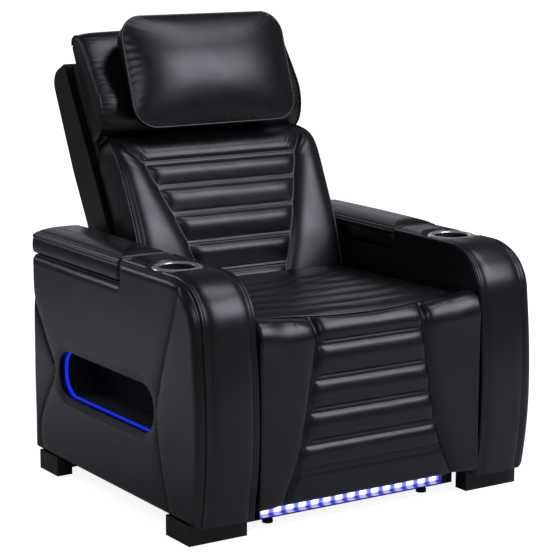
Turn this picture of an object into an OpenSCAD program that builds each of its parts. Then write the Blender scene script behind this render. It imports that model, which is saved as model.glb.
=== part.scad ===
// Power recliner: lift-up footrest, reclining back, tilting headrest, storage arms with cup holders.
// Millimetres. Facing the chair, +X is to the right, +Y is to the rear and +Z is up from the floor.
// The origin lies on the floor under the middle of the whole chair.

/* [Arms] */
// Clear width between the two arms
seat_gap = 640; // [620:1:680]
// Width of one arm
arm_w = 155; // [150:1:175]
// Depth of one arm, from its front bulge to its rear face
arm_d = 828; // [815:1:860]
// Height of the flat top of the arm
arm_top = 608; // [600:1:630]
// Height of the feet
foot_h = 49; // [42:1:56]
// Thickness of an arm's side panel
panel_t = 15; // [12:1:18]
// Thickness of the padded band over the front and top of an arm
band_t = 18; // [14:1:22]
// Radius of the rounded corner between an arm's front and top
arm_round = 118; // [100:1:130]
// Height at which the arm's front bulges furthest forward
bulge_z = 260; // [240:1:280]
// Radius of the upper part of the front bulge
bulge_r_high = 1650; // [1400:10:2000]
// Radius of the lower part of the front bulge
bulge_r_low = 1000; // [800:10:1400]
// Thickness of the board that closes an arm at the rear
rear_board_t = 15; // [12:1:18]

/* [Feet] */
// Distance from the arm's front bulge to the front foot
foot_front_set = 53; // [40:1:60]
// Distance from the arm's rear face to the rear foot
foot_rear_set = 21; // [10:1:30]
// Length of a front foot along the side of the chair
front_foot_l = 106; // [90:1:130]
// Length of a rear foot along the side of the chair
rear_foot_l = 97; // [80:1:120]
// Thickness of a foot's two boards
foot_board_t = 42; // [30:1:48]

/* [Storage lids] */
// Distance from the arm's front bulge to the front end of the lid
lid_y = 372; // [360:1:400]
// Overhang of the lid past the arm's rear face
lid_overhang = 12; // [11:1:16]
// Height of the lid's skirt below the arm's top
lid_skirt = 50; // [45:1:60]
// Height of the lid's crown above the arm's top
lid_crown = 24; // [20:1:32]
// Wall of the lid
lid_wall = 17; // [14:1:20]
// Width by which the lid stays back from the seat side of the arm
lid_inset = 3; // [1:0.5:5]
// Depth of a storage bin below its flange
bin_depth = 165; // [120:1:180]
// Wall of a storage bin
bin_wall = 3; // [2:0.5:4]
// Radius of the lid's hinge pin
lid_pin_r = 2.5; // [2:0.1:3]
// Length of the lid's hinge
lid_hinge_l = 90; // [70:1:110]

/* [Cup holders] */
// Distance from the arm's front bulge to the middle of the cup
cup_y = 231.5; // [215:0.5:250]
// Inner radius of the cup
cup_r = 43; // [38:0.5:46]
// Depth of the cup below the arm's top
cup_depth = 75; // [60:1:90]
// Wall of the cup
cup_wall = 2; // [1.5:0.1:3]
// Width of the bright rim around the cup
rim_w = 17; // [12:0.5:20]
// Height of the rim above the arm's top
rim_h = 6; // [4:0.5:8]

/* [Side pockets] */
// Distance from the arm's front bulge to the front end of the pocket
pocket_y = 203; // [195:1:225]
// Length of the pocket
pocket_l = 489; // [440:1:500]
// Height of the pocket's lower edge above the floor
pocket_z = 216; // [200:1:225]
// Height of the pocket
pocket_h = 128; // [110:1:135]
// Radius of the pocket's rounded ends
pocket_r = 60; // [45:1:62]
// Depth of the pocket from the arm's outer face
pocket_depth = 112; // [90:1:116]
// Wall of the pocket's liner
pocket_wall = 4; // [3:0.5:6]
// Thickness of the light strip inside the pocket
strip_t = 2; // [1:0.5:3]
// Width of the light strip inside the pocket
strip_w = 8; // [5:1:12]

/* [Base] */
// Height of the base rails' undersides above the floor
rail_z = 14; // [12:1:16]
// Height of a base rail
rail_h = 34; // [28:1:36]
// Depth of a base rail
rail_d = 30; // [24:1:36]
// Wall of a base rail
rail_wall = 3; // [2:0.5:4]
// Distance from the arm's front bulge to the front rail
front_rail_y = 98; // [94:1:106]
// Distance from the arm's front bulge to the rear rail
rear_rail_y = 690; // [670:1:710]
// Thickness of the side plates that carry the moving parts
plate_t = 6; // [5:0.5:7]
// Distance from the middle of the chair to the glides
glide_x = 226; // [200:1:250]
// Radius of a glide
glide_r = 13; // [10:0.5:15]
// Length of the lit bar under the footrest
light_bar_l = 536; // [500:1:580]
// Height of the lit bar
light_bar_h = 26; // [20:1:30]
// Depth of the lit bar
light_bar_d = 15; // [10:1:18]
// Number of lamps in the lit bar
lamp_count = 15; // [10:1:18]
// Height of the panel that closes the base at the rear
rear_cover_h = 320; // [280:1:330]

/* [Seat] */
// Height of the seat's front edge above the floor
seat_top = 500; // [495:1:510]
// Height of the seat cushion's underside
seat_under = 385; // [380:1:390]
// Distance from the arm's front bulge to the seat's front roll
roll_y = 15; // [12:1:20]
// Radius of the roll at the seat's front edge
roll_r = 50; // [44:1:54]
// Distance from the arm's front bulge to the seat cushion's rear end
seat_rear = 552; // [540:1:556]
// Clear width between the cushions and an arm
cushion_gap = 18; // [17.5:0.5:22]
// Height of the seat's crown over its front edge
seat_crown = 12; // [6:1:16]
// Drop of the seat's rear end below its front edge
seat_drop = 14; // [8:1:18]
// Depth of the sewn channels in the cushions
channel_d = 5; // [3:0.5:7]
// Number of sewn channels across the seat
seat_channels = 6; // [4:1:7]
// Height of the seat frame's rails
frame_h = 28; // [24:1:30]
// Width of the seat frame's side rails
frame_w = 24; // [20:1:28]
// Number of zigzag springs under the seat
spring_count = 5; // [3:1:6]
// Width of a zigzag spring
spring_w = 46; // [40:1:50]
// Thickness of the spring wire
spring_wire = 4; // [3:0.5:4.5]

/* [Footrest] */
// Height of the footrest pad's lower edge
pad_low = 70; // [66:1:80]
// Depth of the footrest pad
pad_d = 64; // [56:1:66]
// Height of the gap line between the seat's roll and the footrest pad
pad_split = 442; // [438:1:446]
// Thickness of the footrest's board
board_t = 12; // [9:1:14]
// Half width of the sewn middle panel at the top of the pad
pad_seam_top = 152; // [140:1:165]
// Extra half width of the middle panel at the bottom of the pad
pad_seam_flare = 60; // [40:1:70]
// Number of sewn channels across the pad
pad_channels = 4; // [3:1:5]
// Distance between the sewn channels of the pad
pad_pitch = 76; // [68:1:78]
// Bulge of the pad's panels
pad_bulge = 9; // [4:1:12]
// Footrest pivot, distance from the arm's front bulge
foot_pivot_y = 26; // [25:0.5:28]
// Footrest pivot, height
foot_pivot_z = 489; // [487:1:491]
// Largest swing of the footrest
foot_open = 85; // [60:1:88]
// Drive shaft, distance from the arm's front bulge
shaft_y = 190; // [185:1:200]
// Drive shaft, height
shaft_z = 330; // [322:1:331]
// Radius of the drive shaft's tube
shaft_r = 14; // [12:0.5:15]
// Distance from the footrest pivot back to the bracket pin
bracket_y = 78; // [77.5:0.5:80]
// Distance from the footrest pivot down to the bracket pin
bracket_z = 239; // [230:1:240]
// Width of a link
link_w = 22; // [18:1:24]
// Thickness of a link
link_t = 6; // [5:0.5:7]
// Radius of the pivot pins
pin_r = 5; // [4:0.1:5.5]
// Radial clearance of a pivot pin in its bore
pin_clear = 0.08; // [0.05:0.01:0.1]
// Radial clearance at the pivot where the linkage is left open
open_clear = 0.5; // [0.4:0.1:0.8]
// Length of the shaft's crank
crank_l = 60; // [54:1:64]

/* [Back] */
// Lean of the back at rest
back_lean = 25.5; // [24.5:0.5:27]
// Foot of the back's front surface, distance from the arm's front bulge
back_y = 555; // [552:1:562]
// Foot of the back's front surface, height
back_z = 480; // [478:1:486]
// Gap on each side between the back and an arm
back_gap = 12; // [12:0.5:20]
// Distance from the back's front surface to the outer rear surface
shell_rear = 216; // [205:1:225]
// Length of the shell up the back
shell_top = 660; // [640:1:675]
// Radius of the shell's rear top corner
shell_round = 40; // [30:1:46]
// Wall of the padded rear shell
shell_wall = 12; // [10:1:14]
// Length of the lumbar cushion up the back
lumbar_l = 438; // [425:1:440]
// Depth of the lumbar cushion behind the back's front surface
lumbar_rear = 96; // [95:1:100]
// Bulge of the lumbar cushion's panels
lumbar_bulge = 20; // [10:1:24]
// Half width of the sewn middle panel at the foot of the back
lumbar_seam_low = 118; // [110:1:130]
// Growth of the middle panel's half width for each millimetre up the back
lumbar_seam_slope = 0.33; // [0.25:0.01:0.36]
// Number of sewn channels across the lumbar cushion
lumbar_channels = 5; // [4:1:6]
// Distance between the sewn channels of the lumbar cushion
lumbar_pitch = 73; // [66:1:76]
// Distance from the foot of the back to the first channel
lumbar_first = 40; // [36:1:50]
// Back pivot, distance from the arm's front bulge
back_pivot_y = 650; // [640:1:656]
// Back pivot, height
back_pivot_z = 415; // [405:1:420]
// Largest recline of the back from rest
back_open = 35; // [20:1:38]
// Width of the back frame's uprights
upright_w = 24; // [20:1:28]
// Thickness of the back frame
upright_t = 24; // [20:1:28]
// Length of the back frame's lower crank
back_crank_l = 100; // [90:1:104]

/* [Headrest] */
// Headrest pivot, distance up the back
head_pivot_s = 431; // [428:1:434]
// Headrest pivot, distance behind the back's front surface
head_pivot_t = 60; // [58:1:64]
// Largest forward tilt of the headrest
head_open = 24; // [12:1:25]
// Top of the headrest cushion, distance up the back
head_top = 706; // [690:1:716]
// Depth of the headrest cushion behind the back's front surface
head_rear = 84; // [80:1:85]
// Thickness of the headrest's board
head_board_t = 10; // [8:1:10]
// Half width of the pillow
pillow_half_w = 248; // [230:1:255]
// Lower edge of the pillow, distance up the back
pillow_low = 420; // [416:1:430]
// Upper edge of the pillow, distance up the back
pillow_high = 716; // [700:1:722]
// Thickness of the pillow at its middle
pillow_t = 92; // [80:1:96]
// Length of the headrest's crank
head_crank_l = 75; // [68:1:80]

/* [Controls] */
// Distance from the arm's front bulge to the middle of the control panel
panel_y = 250; // [230:1:270]
// Height of the middle of the control panel
panel_z = 566; // [560:1:570]
// Length of the control panel
panel_l = 128; // [120:1:140]
// Height of the control panel
panel_h = 34; // [30:1:38]
// Thickness of the control panel's face outside the arm
panel_face = 3; // [2:0.5:4]
// Length of a rocker switch
rocker_l = 34; // [30:1:36]
// Height of a rocker switch
rocker_h = 18; // [16:1:20]
// Travel of the light button
button_travel = 1.5; // [1:0.1:2]
// Radius of the light button
button_r = 8; // [7:0.5:9]
// Clearance round a switch in the panel
switch_clear = 1; // [0.8:0.1:1.2]

/* [Hidden] */
$fn = 96;
big_fn = 720;
eps = 0.01;
bar_shoulder = 0.05;
touch = 0.3;

// The arms
arm_in = seat_gap / 2;
arm_out = arm_in + arm_w;
back_half_w = arm_in - back_gap;
arm_rear = arm_d;
band_in = arm_in + panel_t;
band_out = arm_out - panel_t;
lid_z = arm_top - lid_skirt;
bin_flange = 3;
panel_cut_z = lid_z - bin_flange;
lid_in = arm_in + lid_inset;
lid_end = arm_rear + lid_overhang;
lid_gap = 2;
hinge_y = lid_end - 6;
hinge_z = lid_z - 6;
knuckle_r = 5;
leaf_t = 2;
bin_clear = 3;
cup_x = (arm_in + arm_out) / 2;
pocket_clear = 0.3;
light_in = 15;

// The whole chair, for the place of the origin
depth_all = back_y + sin(back_lean) * (shell_top - shell_round)
    + cos(back_lean) * (shell_rear - shell_round) + shell_round;

// The base, outwards from the middle of the chair
plate_out = arm_in - 10;
plate_in = plate_out - plate_t;
cushion_w = arm_in - cushion_gap;
link_out = plate_in - 10;
link_in = link_out - link_t;
coupler_out = link_in - 2;
coupler_in = coupler_out - link_t;
rail_top = rail_z + rail_h;

// The seat frame
frame_out = plate_in - touch;
frame_top = seat_under - touch - spring_wire;
frame_z = frame_top - frame_h;
frame_front = 106;
frame_rear = seat_rear + 18;
seat_roll_z = seat_top - roll_r;
step_y = frame_front - 3;

// The footrest in its lowered place
board_y = roll_y + pad_d + touch;
pin_bracket_y = foot_pivot_y + bracket_y;
pin_bracket_z = foot_pivot_z - bracket_z;
pin_link_y = shaft_y + bracket_y;
pin_link_z = shaft_z - bracket_z;
arm_gap = 1;
foot_arm_in = plate_out + arm_gap;
foot_arm_t = 5;

// The drives
crank_start = foot_open / 2;
crank_pin_y = shaft_y + crank_l * sin(crank_start);
crank_pin_z = shaft_z - crank_l * cos(crank_start);
crank_pin_r = 6;
foot_drive_x = -90;
back_drive_x = 90;
head_drive_x = 0;
yoke_gap = 3.5;
rod_r = 9;
back_crank_start = back_open / 2;
back_pin_y = back_pivot_y + back_crank_l * sin(back_crank_start);
back_pin_z = back_pivot_z - back_crank_l * cos(back_crank_start);
head_crank_start = head_open / 2;
head_pin_s = head_pivot_s - head_crank_l * sin(head_crank_start);
head_pin_t = head_pivot_t + head_crank_l * cos(head_crank_start);

// Shared shapes

// Puts the chair's own frame, whose Y starts at the arm's front bulge, under the origin
module placed() { translate([0, -depth_all / 2, 0]) children(); }

// Draws for the right side as written, and mirrored for the left
module sided(side) { if (side > 0) children(); else mirror([1, 0, 0]) children(); }

// Extrudes an outline drawn in (Y, Z) from x0 to x1
module along_x(x0, x1) {
    translate([x0, 0, 0]) rotate([90, 0, 90]) linear_extrude(x1 - x0) children();
}

// Box between two corners
module block(a, b) { translate(a) cube(b - a); }

// Cylinder along X
module rod_x(x0, x1, y, z, r) {
    translate([x0, y, z]) rotate([0, 90, 0]) cylinder(r = r, h = x1 - x0);
}

// Cylinder along Y
module rod_y(y0, y1, x, z, r) {
    translate([x, y0, z]) rotate([-90, 0, 0]) cylinder(r = r, h = y1 - y0);
}

// Flat bar with round ends between two points of the (Y, Z) plane. Its straight part is a hair
// narrower than its ends
module bar_2d(p, q, w) {
    span = norm(q - p);
    turn = atan2(q[1] - p[1], q[0] - p[0]);
    translate(p) circle(d = w);
    translate(q) circle(d = w);
    translate(p) rotate(turn) translate([0, bar_shoulder - w / 2])
        square([span, w - 2 * bar_shoulder]);
}

// Places the back's own frame: Y to the rear through the back, Z up along it
module on_back() { translate([0, back_y, back_z]) rotate([-back_lean, 0, 0]) children(); }

// Arms

corner_z = arm_top - arm_round;
corner_proud = 0.3;
corner_y = bulge_r_high - sqrt(pow(bulge_r_high, 2) - pow(corner_z - bulge_z, 2)) + arm_round
    - corner_proud;

// Side outline of an arm, drawn in (Y, Z), with its front and top moved inwards by inset
module arm_outline(inset, bottom) {
    translate([corner_y, corner_z]) circle(r = arm_round - inset, $fn = big_fn);
    intersection() {
        translate([bulge_r_high, bulge_z]) circle(r = bulge_r_high - inset, $fn = big_fn);
        translate([0, bulge_z]) square([corner_y, corner_z - bulge_z]);
    }
    intersection() {
        translate([bulge_r_low, bulge_z]) circle(r = bulge_r_low - inset, $fn = big_fn);
        translate([0, bottom]) square([corner_y, bulge_z - bottom + eps]);
    }
    translate([corner_y - eps, bottom]) square([arm_rear - corner_y + eps, corner_z - bottom]);
    translate([corner_y, corner_z - eps]) square([arm_rear - corner_y, arm_round - inset + eps]);
}

// Rounded outline of the side pocket, drawn in (Y, Z)
module pocket_outline(inset) {
    r = pocket_r - inset;
    for (y = [pocket_y + pocket_r, pocket_y + pocket_l - pocket_r])
        for (z = [pocket_z + pocket_r, pocket_z + pocket_h - pocket_r])
            translate([y, z]) circle(r = r);
    translate([pocket_y + pocket_r, pocket_z + inset])
        square([pocket_l - 2 * pocket_r, pocket_h - 2 * inset]);
    translate([pocket_y + inset, pocket_z + pocket_r])
        square([pocket_l - 2 * inset, pocket_h - 2 * pocket_r]);
}

// Side of an arm with its rear top lowered to carry the storage bin and lid
module panel_outline() {
    difference() {
        arm_outline(0, foot_h);
        translate([lid_y - lid_gap, panel_cut_z]) square([arm_d, arm_top]);
    }
}

module outer_panel(side) {
    color("#1a1a1d") placed() sided(side) along_x(band_out, arm_out)
        difference() {
            panel_outline();
            pocket_outline(0);
        }
}

module inner_panel(side) {
    color("#1a1a1d") placed() sided(side) difference() {
        along_x(arm_in, band_in) panel_outline();
        if (side < 0) block(
            [arm_in - 1, panel_y - panel_l / 2 + panel_lip, panel_z - panel_h / 2 + panel_lip],
            [band_in + 1, panel_y + panel_l / 2 - panel_lip, panel_z + panel_h / 2 - panel_lip]);
    }
}

module arm_band(side) {
    color("#1a1a1d") placed() sided(side) difference() {
        along_x(band_in, band_out) intersection() {
            difference() {
                arm_outline(0, foot_h);
                arm_outline(band_t, foot_h - 1);
            }
            square([lid_y - lid_gap, arm_top + 1]);
        }
        translate([cup_x, cup_y, corner_z]) cylinder(r = cup_r + cup_wall + 1, h = arm_round + 1);
    }
}

module arm_rear_board(side) {
    color("#1a1a1d") placed() sided(side)
        block([band_in, arm_rear - rear_board_t, foot_h], [band_out, arm_rear, panel_cut_z]);
}

module foot(side, y0, toward, length) {
    y1 = y0 + toward * length;
    y2 = y0 + toward * foot_board_t;
    color("#121214") placed() sided(side) {
        block([arm_in, min(y0, y2), 0], [arm_out, max(y0, y2), foot_h]);
        block([arm_out - foot_board_t, min(y0, y1), 0], [arm_out, max(y0, y1), foot_h]);
    }
}

// Storage lids, bins and hinges

lid_edge_drop = 8;
lid_edge_z = arm_top + lid_crown - lid_edge_drop;
lid_mid_x = (lid_in + arm_out) / 2;
lid_half = (arm_out - lid_in) / 2;
lid_crown_r = (pow(lid_half, 2) + pow(lid_edge_drop, 2)) / (2 * lid_edge_drop);
lid_round = 14;
lid_room = 4;

module lid(side) {
    color("#1a1a1d") placed() sided(side) difference() {
        intersection() {
            translate([0, lid_end, 0]) rotate([90, 0, 0]) linear_extrude(lid_end - lid_y) {
                translate([lid_in, lid_z]) square([2 * lid_half, lid_edge_z - lid_z]);
                intersection() {
                    translate([lid_mid_x, arm_top + lid_crown - lid_crown_r])
                        circle(r = lid_crown_r, $fn = big_fn);
                    translate([lid_in, lid_z]) square([2 * lid_half, arm_top]);
                }
            }
            along_x(lid_in, arm_out) {
                translate([lid_y, lid_z])
                    square([lid_end - lid_y, arm_top + lid_crown - lid_round - lid_z]);
                translate([lid_y + lid_round, lid_z])
                    square([lid_end - lid_y - 2 * lid_round, arm_top + lid_crown - lid_z]);
                for (y = [lid_y + lid_round, lid_end - lid_round])
                    translate([y, arm_top + lid_crown - lid_round]) circle(r = lid_round);
            }
        }
        block([lid_in + lid_wall, lid_y + lid_wall, lid_z - 1],
            [arm_out - lid_wall, lid_end - lid_wall, arm_top - lid_room]);
    }
}

module storage_bin(side) {
    y0 = lid_y + bin_clear;
    y1 = arm_rear - rear_board_t - bin_clear;
    x0 = band_in + bin_clear;
    x1 = band_out - bin_clear;
    color("#26262a") placed() sided(side) difference() {
        union() {
            block([x0, y0, lid_z - bin_depth], [x1, y1, lid_z]);
            block([arm_in + lid_inset, y0, panel_cut_z], [arm_out - lid_inset, y1, lid_z]);
        }
        block([x0 + bin_wall, y0 + bin_wall, lid_z - bin_depth + bin_wall],
            [x1 - bin_wall, y1 - bin_wall, lid_z + 1]);
    }
}

hinge_x0 = cup_x - lid_hinge_l / 2;
hinge_x1 = cup_x + lid_hinge_l / 2;
hinge_third = lid_hinge_l / 3;
knuckle_gap = 0.5;
leaf_h = 36;

// Fixed half of a lid's hinge, with its pin
module lid_hinge(side) {
    color("#8c8f94") placed() sided(side) {
        for (x = [hinge_x0, hinge_x1 - hinge_third]) {
            rod_x(x, x + hinge_third, hinge_y, hinge_z, knuckle_r);
            block([x, arm_rear, hinge_z - leaf_h], [x + hinge_third, hinge_y - lid_pin_r, hinge_z]);
        }
        rod_x(hinge_x0, hinge_x1, hinge_y, hinge_z, lid_pin_r);
        block([hinge_x0, arm_rear, hinge_z - leaf_h], [hinge_x1, arm_rear + leaf_t, hinge_z - 12]);
    }
}

// Moving half of a lid's hinge, under the lid's overhang
module lid_leaf(side) {
    x0 = hinge_x0 + hinge_third + knuckle_gap;
    x1 = hinge_x1 - hinge_third - knuckle_gap;
    color("#8c8f94") placed() sided(side) difference() {
        union() {
            rod_x(x0, x1, hinge_y, hinge_z, knuckle_r);
            block([x0, hinge_y - knuckle_r, hinge_z + 3], [x1, lid_end, lid_z]);
        }
        rod_x(x0 - 1, x1 + 1, hinge_y, hinge_z, lid_pin_r + pin_clear);
    }
}

// Cup holders and side pockets

rim_edge = 1;
rim_rise = rim_h - rim_edge;
rim_r = (pow(rim_w / 2, 2) + pow(rim_rise, 2)) / (2 * rim_rise);
cup_floor = 3;

module cup_holder(side) {
    color("#c9ccd1") placed() sided(side) translate([cup_x, cup_y, arm_top - cup_depth]) {
        difference() {
            cylinder(r = cup_r + cup_wall, h = cup_depth);
            translate([0, 0, cup_floor]) cylinder(r = cup_r, h = cup_depth);
        }
        translate([0, 0, cup_depth]) rotate_extrude() intersection() {
            translate([cup_r + rim_w / 2, rim_h - rim_r]) circle(r = rim_r);
            translate([cup_r, 0]) square([rim_w, rim_h + 1]);
        }
    }
}

module side_pocket(side) {
    color("#0c0c0e") placed() sided(side) difference() {
        along_x(arm_out - pocket_depth, arm_out) pocket_outline(pocket_clear);
        along_x(arm_out - pocket_depth + pocket_wall, arm_out + 1)
            pocket_outline(pocket_clear + pocket_wall);
    }
}

module pocket_light(side) {
    color("#2440ff") placed() sided(side)
        along_x(arm_out - light_in - strip_w, arm_out - light_in)
            difference() {
                pocket_outline(pocket_clear + pocket_wall + 0.05);
                pocket_outline(pocket_clear + pocket_wall + strip_t);
            }
}

// Base

panel_lip = 5;
cover_t = 8;
cover_low = foot_h;
glide_neck_r = 8;
glide_base_h = 8;

module base_rail(y0) {
    color("#1b1b1e") placed() difference() {
        block([-plate_in, y0, rail_z], [plate_in, y0 + rail_d, rail_top]);
        block([-plate_in - 1, y0 + rail_wall, rail_z + rail_wall],
            [plate_in + 1, y0 + rail_d - rail_wall, rail_top - rail_wall]);
    }
}

module glides() {
    color("#111113") placed()
        for (x = [-glide_x, glide_x], y = [front_rail_y, rear_rail_y])
            translate([x, y + rail_d / 2, 0]) {
                cylinder(r = glide_r, h = glide_base_h);
                cylinder(r = glide_neck_r, h = rail_z);
            }
}

plate_arm_w = 30;
plate_arm_down = 20;
plate_hip_w = 44;
stand_off_r = 11;
stand_off_in = 60;
stand_off_low = 40;
stand_off_high = 30;

module side_plate(side) {
    color("#2a2b2e") placed() sided(side) {
        difference() {
            along_x(plate_in, plate_out) {
                translate([front_rail_y, rail_z])
                    square([rear_rail_y + rail_d - front_rail_y, frame_top - rail_z]);
                bar_2d([front_rail_y + plate_hip_w, frame_top - plate_arm_down],
                    [foot_pivot_y, foot_pivot_z], plate_arm_w);
                bar_2d([back_pivot_y, frame_top - plate_hip_w], [back_pivot_y, back_pivot_z],
                    plate_hip_w);
            }
            for (p = [[foot_pivot_y, foot_pivot_z], [shaft_y, shaft_z],
                    [back_pivot_y, back_pivot_z]])
                rod_x(plate_in - 1, plate_out + 1, p[0], p[1], pin_r + pin_clear);
        }
        for (y = [front_rail_y + stand_off_in, rear_rail_y - stand_off_in],
                z = [rail_top + stand_off_low, frame_top - stand_off_high])
            rod_x(plate_out - eps, arm_in, y, z, stand_off_r);
    }
}

pin_end = arm_in - 3;
pin_head = 2;
shaft_pin_in = link_in - 4;
back_pin_in = link_in - 14;

// Fixed pins for the footrest, the drive shaft and the back, on both sides
module pivot_pins() {
    color("#b5b8bd") placed() for (side = [-1, 1]) sided(side) {
        rod_x(plate_in + 0.5, pin_end, foot_pivot_y, foot_pivot_z, pin_r);
        rod_x(shaft_pin_in, plate_out + pin_head, shaft_y, shaft_z, pin_r);
        rod_x(back_pin_in, plate_out + pin_head, back_pivot_y, back_pivot_z, pin_r);
    }
}

module rear_cover() {
    y1 = arm_rear - rear_board_t;
    color("#1a1a1d") placed() difference() {
        block([-arm_in, y1 - cover_t, cover_low], [arm_in, y1, cover_low + rear_cover_h]);
        rod_y(y1 - cover_t - 1, y1 + 1, inlet_x, inlet_z, inlet_r);
    }
}

inlet_x = -200;
inlet_z = 80;
inlet_r = 11;
socket_r = 4;
supply_l = 180;
supply_w = 70;
supply_h = 56;
supply_side = 40;
socket_depth = 14;

// Power supply box on the rear rail, with its low voltage inlet through the rear cover
module power_supply() {
    y0 = rear_rail_y + rail_d - supply_w;
    y1 = arm_rear - rear_board_t;
    color("#202124") placed() {
        block([inlet_x - supply_side, y0, rail_top],
            [inlet_x - supply_side + supply_l, rear_rail_y + rail_d, rail_top + supply_h]);
        difference() {
            rod_y(rear_rail_y + rail_d - eps, y1, inlet_x, inlet_z, inlet_r - touch);
            rod_y(y1 - socket_depth, y1 + 1, inlet_x, inlet_z, socket_r);
        }
    }
}

bar_y = front_rail_y - light_bar_d;
bar_lift = 3;
bar_mid_z = rail_z + rail_h / 2 + bar_lift;
bar_lip = 2;
lamp_w = 11;
lamp_h = 9;
lamp_t = 2;
tape_h = 10;
tape_t = 1;
tape_in = 1;

// Channel of the lit bar, open to the front
module light_bar() {
    z0 = bar_mid_z - light_bar_h / 2;
    z1 = bar_mid_z + light_bar_h / 2;
    color("#141416") placed() difference() {
        union() {
            block([-light_bar_l / 2, bar_y, z0], [light_bar_l / 2, front_rail_y, z1]);
            block([-plate_in, front_rail_y - bar_lip, z0], [plate_in, front_rail_y, z1]);
        }
        block([-light_bar_l / 2 + bar_lip, bar_y - 1, z0 + bar_lip],
            [light_bar_l / 2 - bar_lip, front_rail_y - bar_lip * 2, z1 - bar_lip]);
    }
}

// Lamps on their tape at the back of the channel
module light_bar_lamps() {
    pitch = (light_bar_l - 4 * bar_lip) / lamp_count;
    tape_y = front_rail_y - bar_lip * 2 - tape_t;
    color("#dfe6ff") placed() {
        block([-light_bar_l / 2 + bar_lip + tape_in, tape_y, bar_mid_z - tape_h / 2],
            [light_bar_l / 2 - bar_lip - tape_in, tape_y + tape_t, bar_mid_z + tape_h / 2]);
        for (i = [0 : lamp_count - 1])
            translate([(i - (lamp_count - 1) / 2) * pitch - lamp_w / 2, tape_y - lamp_t,
                    bar_mid_z - lamp_h / 2])
                cube([lamp_w, lamp_t + eps, lamp_h]);
    }
}

// Seat frame and springs

module seat_frame() {
    color("#8a6a45") placed() {
        for (x = [-frame_out, frame_out - frame_w])
            block([x, frame_front, frame_z], [x + frame_w, frame_rear, frame_top]);
        for (y = [frame_front, frame_rear - frame_w])
            block([-frame_out + frame_w, y, frame_z], [frame_out - frame_w, y + frame_w, frame_top]);
    }
}

spring_runs = 15;
spring_in = 6;

// One zigzag spring as a flat band that runs from the front rail to the rear rail
module zigzag(x) {
    y0 = frame_front + spring_in;
    y1 = frame_rear - spring_in;
    step = (y1 - y0) / spring_runs;
    half = spring_w / 2 - spring_wire / 2;
    stops = [for (i = [0 : spring_runs]) [x + (i % 2 == 0 ? -half : half), y0 + i * step]];
    translate([0, 0, frame_top]) linear_extrude(spring_wire)
        for (i = [0 : spring_runs - 1]) bar_2d(stops[i], stops[i + 1], spring_wire);
}

module seat_springs() {
    span = 2 * (frame_out - frame_w) - spring_w;
    color("#9a9da2") placed() for (i = [0 : spring_count - 1])
        zigzag(-span / 2 + span * i / (spring_count - 1));
}

// Footrest and its linkage

foot_arm_w = 26;
tab_drop = 82;
tab_z = pad_split - tab_drop;
tab_h = 30;
board_in = 6;
board_low_in = 5;
board_high_in = 8;

module footrest_frame() {
    lug_y = board_y + board_t / 2;
    color("#8a6a45") placed() {
        block([-cushion_w + board_in, board_y, pad_low + board_low_in],
            [cushion_w - board_in, board_y + board_t, pad_split - board_high_in]);
        for (side = [-1, 1]) sided(side) {
            block([cushion_w - board_in - eps, board_y, tab_z],
                [foot_arm_in + foot_arm_t, board_y + board_t, tab_z + tab_h]);
            difference() {
                along_x(foot_arm_in, foot_arm_in + foot_arm_t)
                    bar_2d([lug_y, tab_z + foot_arm_w / 2], [foot_pivot_y, foot_pivot_z], foot_arm_w);
                rod_x(foot_arm_in - 1, arm_in, foot_pivot_y, foot_pivot_z, pin_r + pin_clear);
            }
            difference() {
                along_x(link_in, link_out)
                    bar_2d([board_y + board_t, pin_bracket_z], [pin_bracket_y, pin_bracket_z], link_w);
                rod_x(link_in - 1, link_out + 1, pin_bracket_y, pin_bracket_z, pin_r + open_clear);
            }
        }
    }
}

yoke_t = 8;
crank_side = 3;

// Cross shaft with a link at each end and the crank that the footrest drive pulls
module drive_shaft() {
    crank_pin = [crank_pin_y, crank_pin_z];
    color("#2a2b2e") placed() {
        for (side = [-1, 1]) sided(side) difference() {
            union() {
                along_x(link_in, link_out)
                    bar_2d([shaft_y, shaft_z], [pin_link_y, pin_link_z], link_w);
                rod_x(0, link_out, shaft_y, shaft_z, shaft_r);
            }
            rod_x(link_in - 10, link_out + 1, shaft_y, shaft_z, pin_r + pin_clear);
            rod_x(link_in - 1, link_out + 1, pin_link_y, pin_link_z, pin_r + pin_clear);
        }
        along_x(foot_drive_x - crank_side - link_t, foot_drive_x - crank_side)
            bar_2d([shaft_y, shaft_z], crank_pin, link_w);
        rod_x(foot_drive_x - crank_side - eps, foot_drive_x + yoke_t + 2, crank_pin_y, crank_pin_z,
            crank_pin_r);
    }
}

// Two identical links from the drive shaft's links to the footrest, each with its two pins
module coupler_links() {
    color("#2a2b2e") placed() for (side = [-1, 1]) sided(side) {
        along_x(coupler_in, coupler_out)
            bar_2d([pin_link_y, pin_link_z], [pin_bracket_y, pin_bracket_z], link_w);
        rod_x(coupler_out - eps, link_out + 1, pin_link_y, pin_link_z, pin_r);
        rod_x(coupler_out - eps, link_out + 1, pin_bracket_y, pin_bracket_z, pin_r);
    }
}

// Drives

gear_w = 44;
gear_h = 40;
tube_r = 14;
rod_clear = 0.1;
can_r = 18;
can_off = 34;
can_l = 90;
case_l = 60;
rod_grip = 40;
hanger_w = 16;
hanger_l = 22;
tube_floor = 6;
yoke_rim = 8;
tube_margin = 12;
yoke_reach = crank_pin_r + yoke_gap + yoke_rim;

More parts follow.
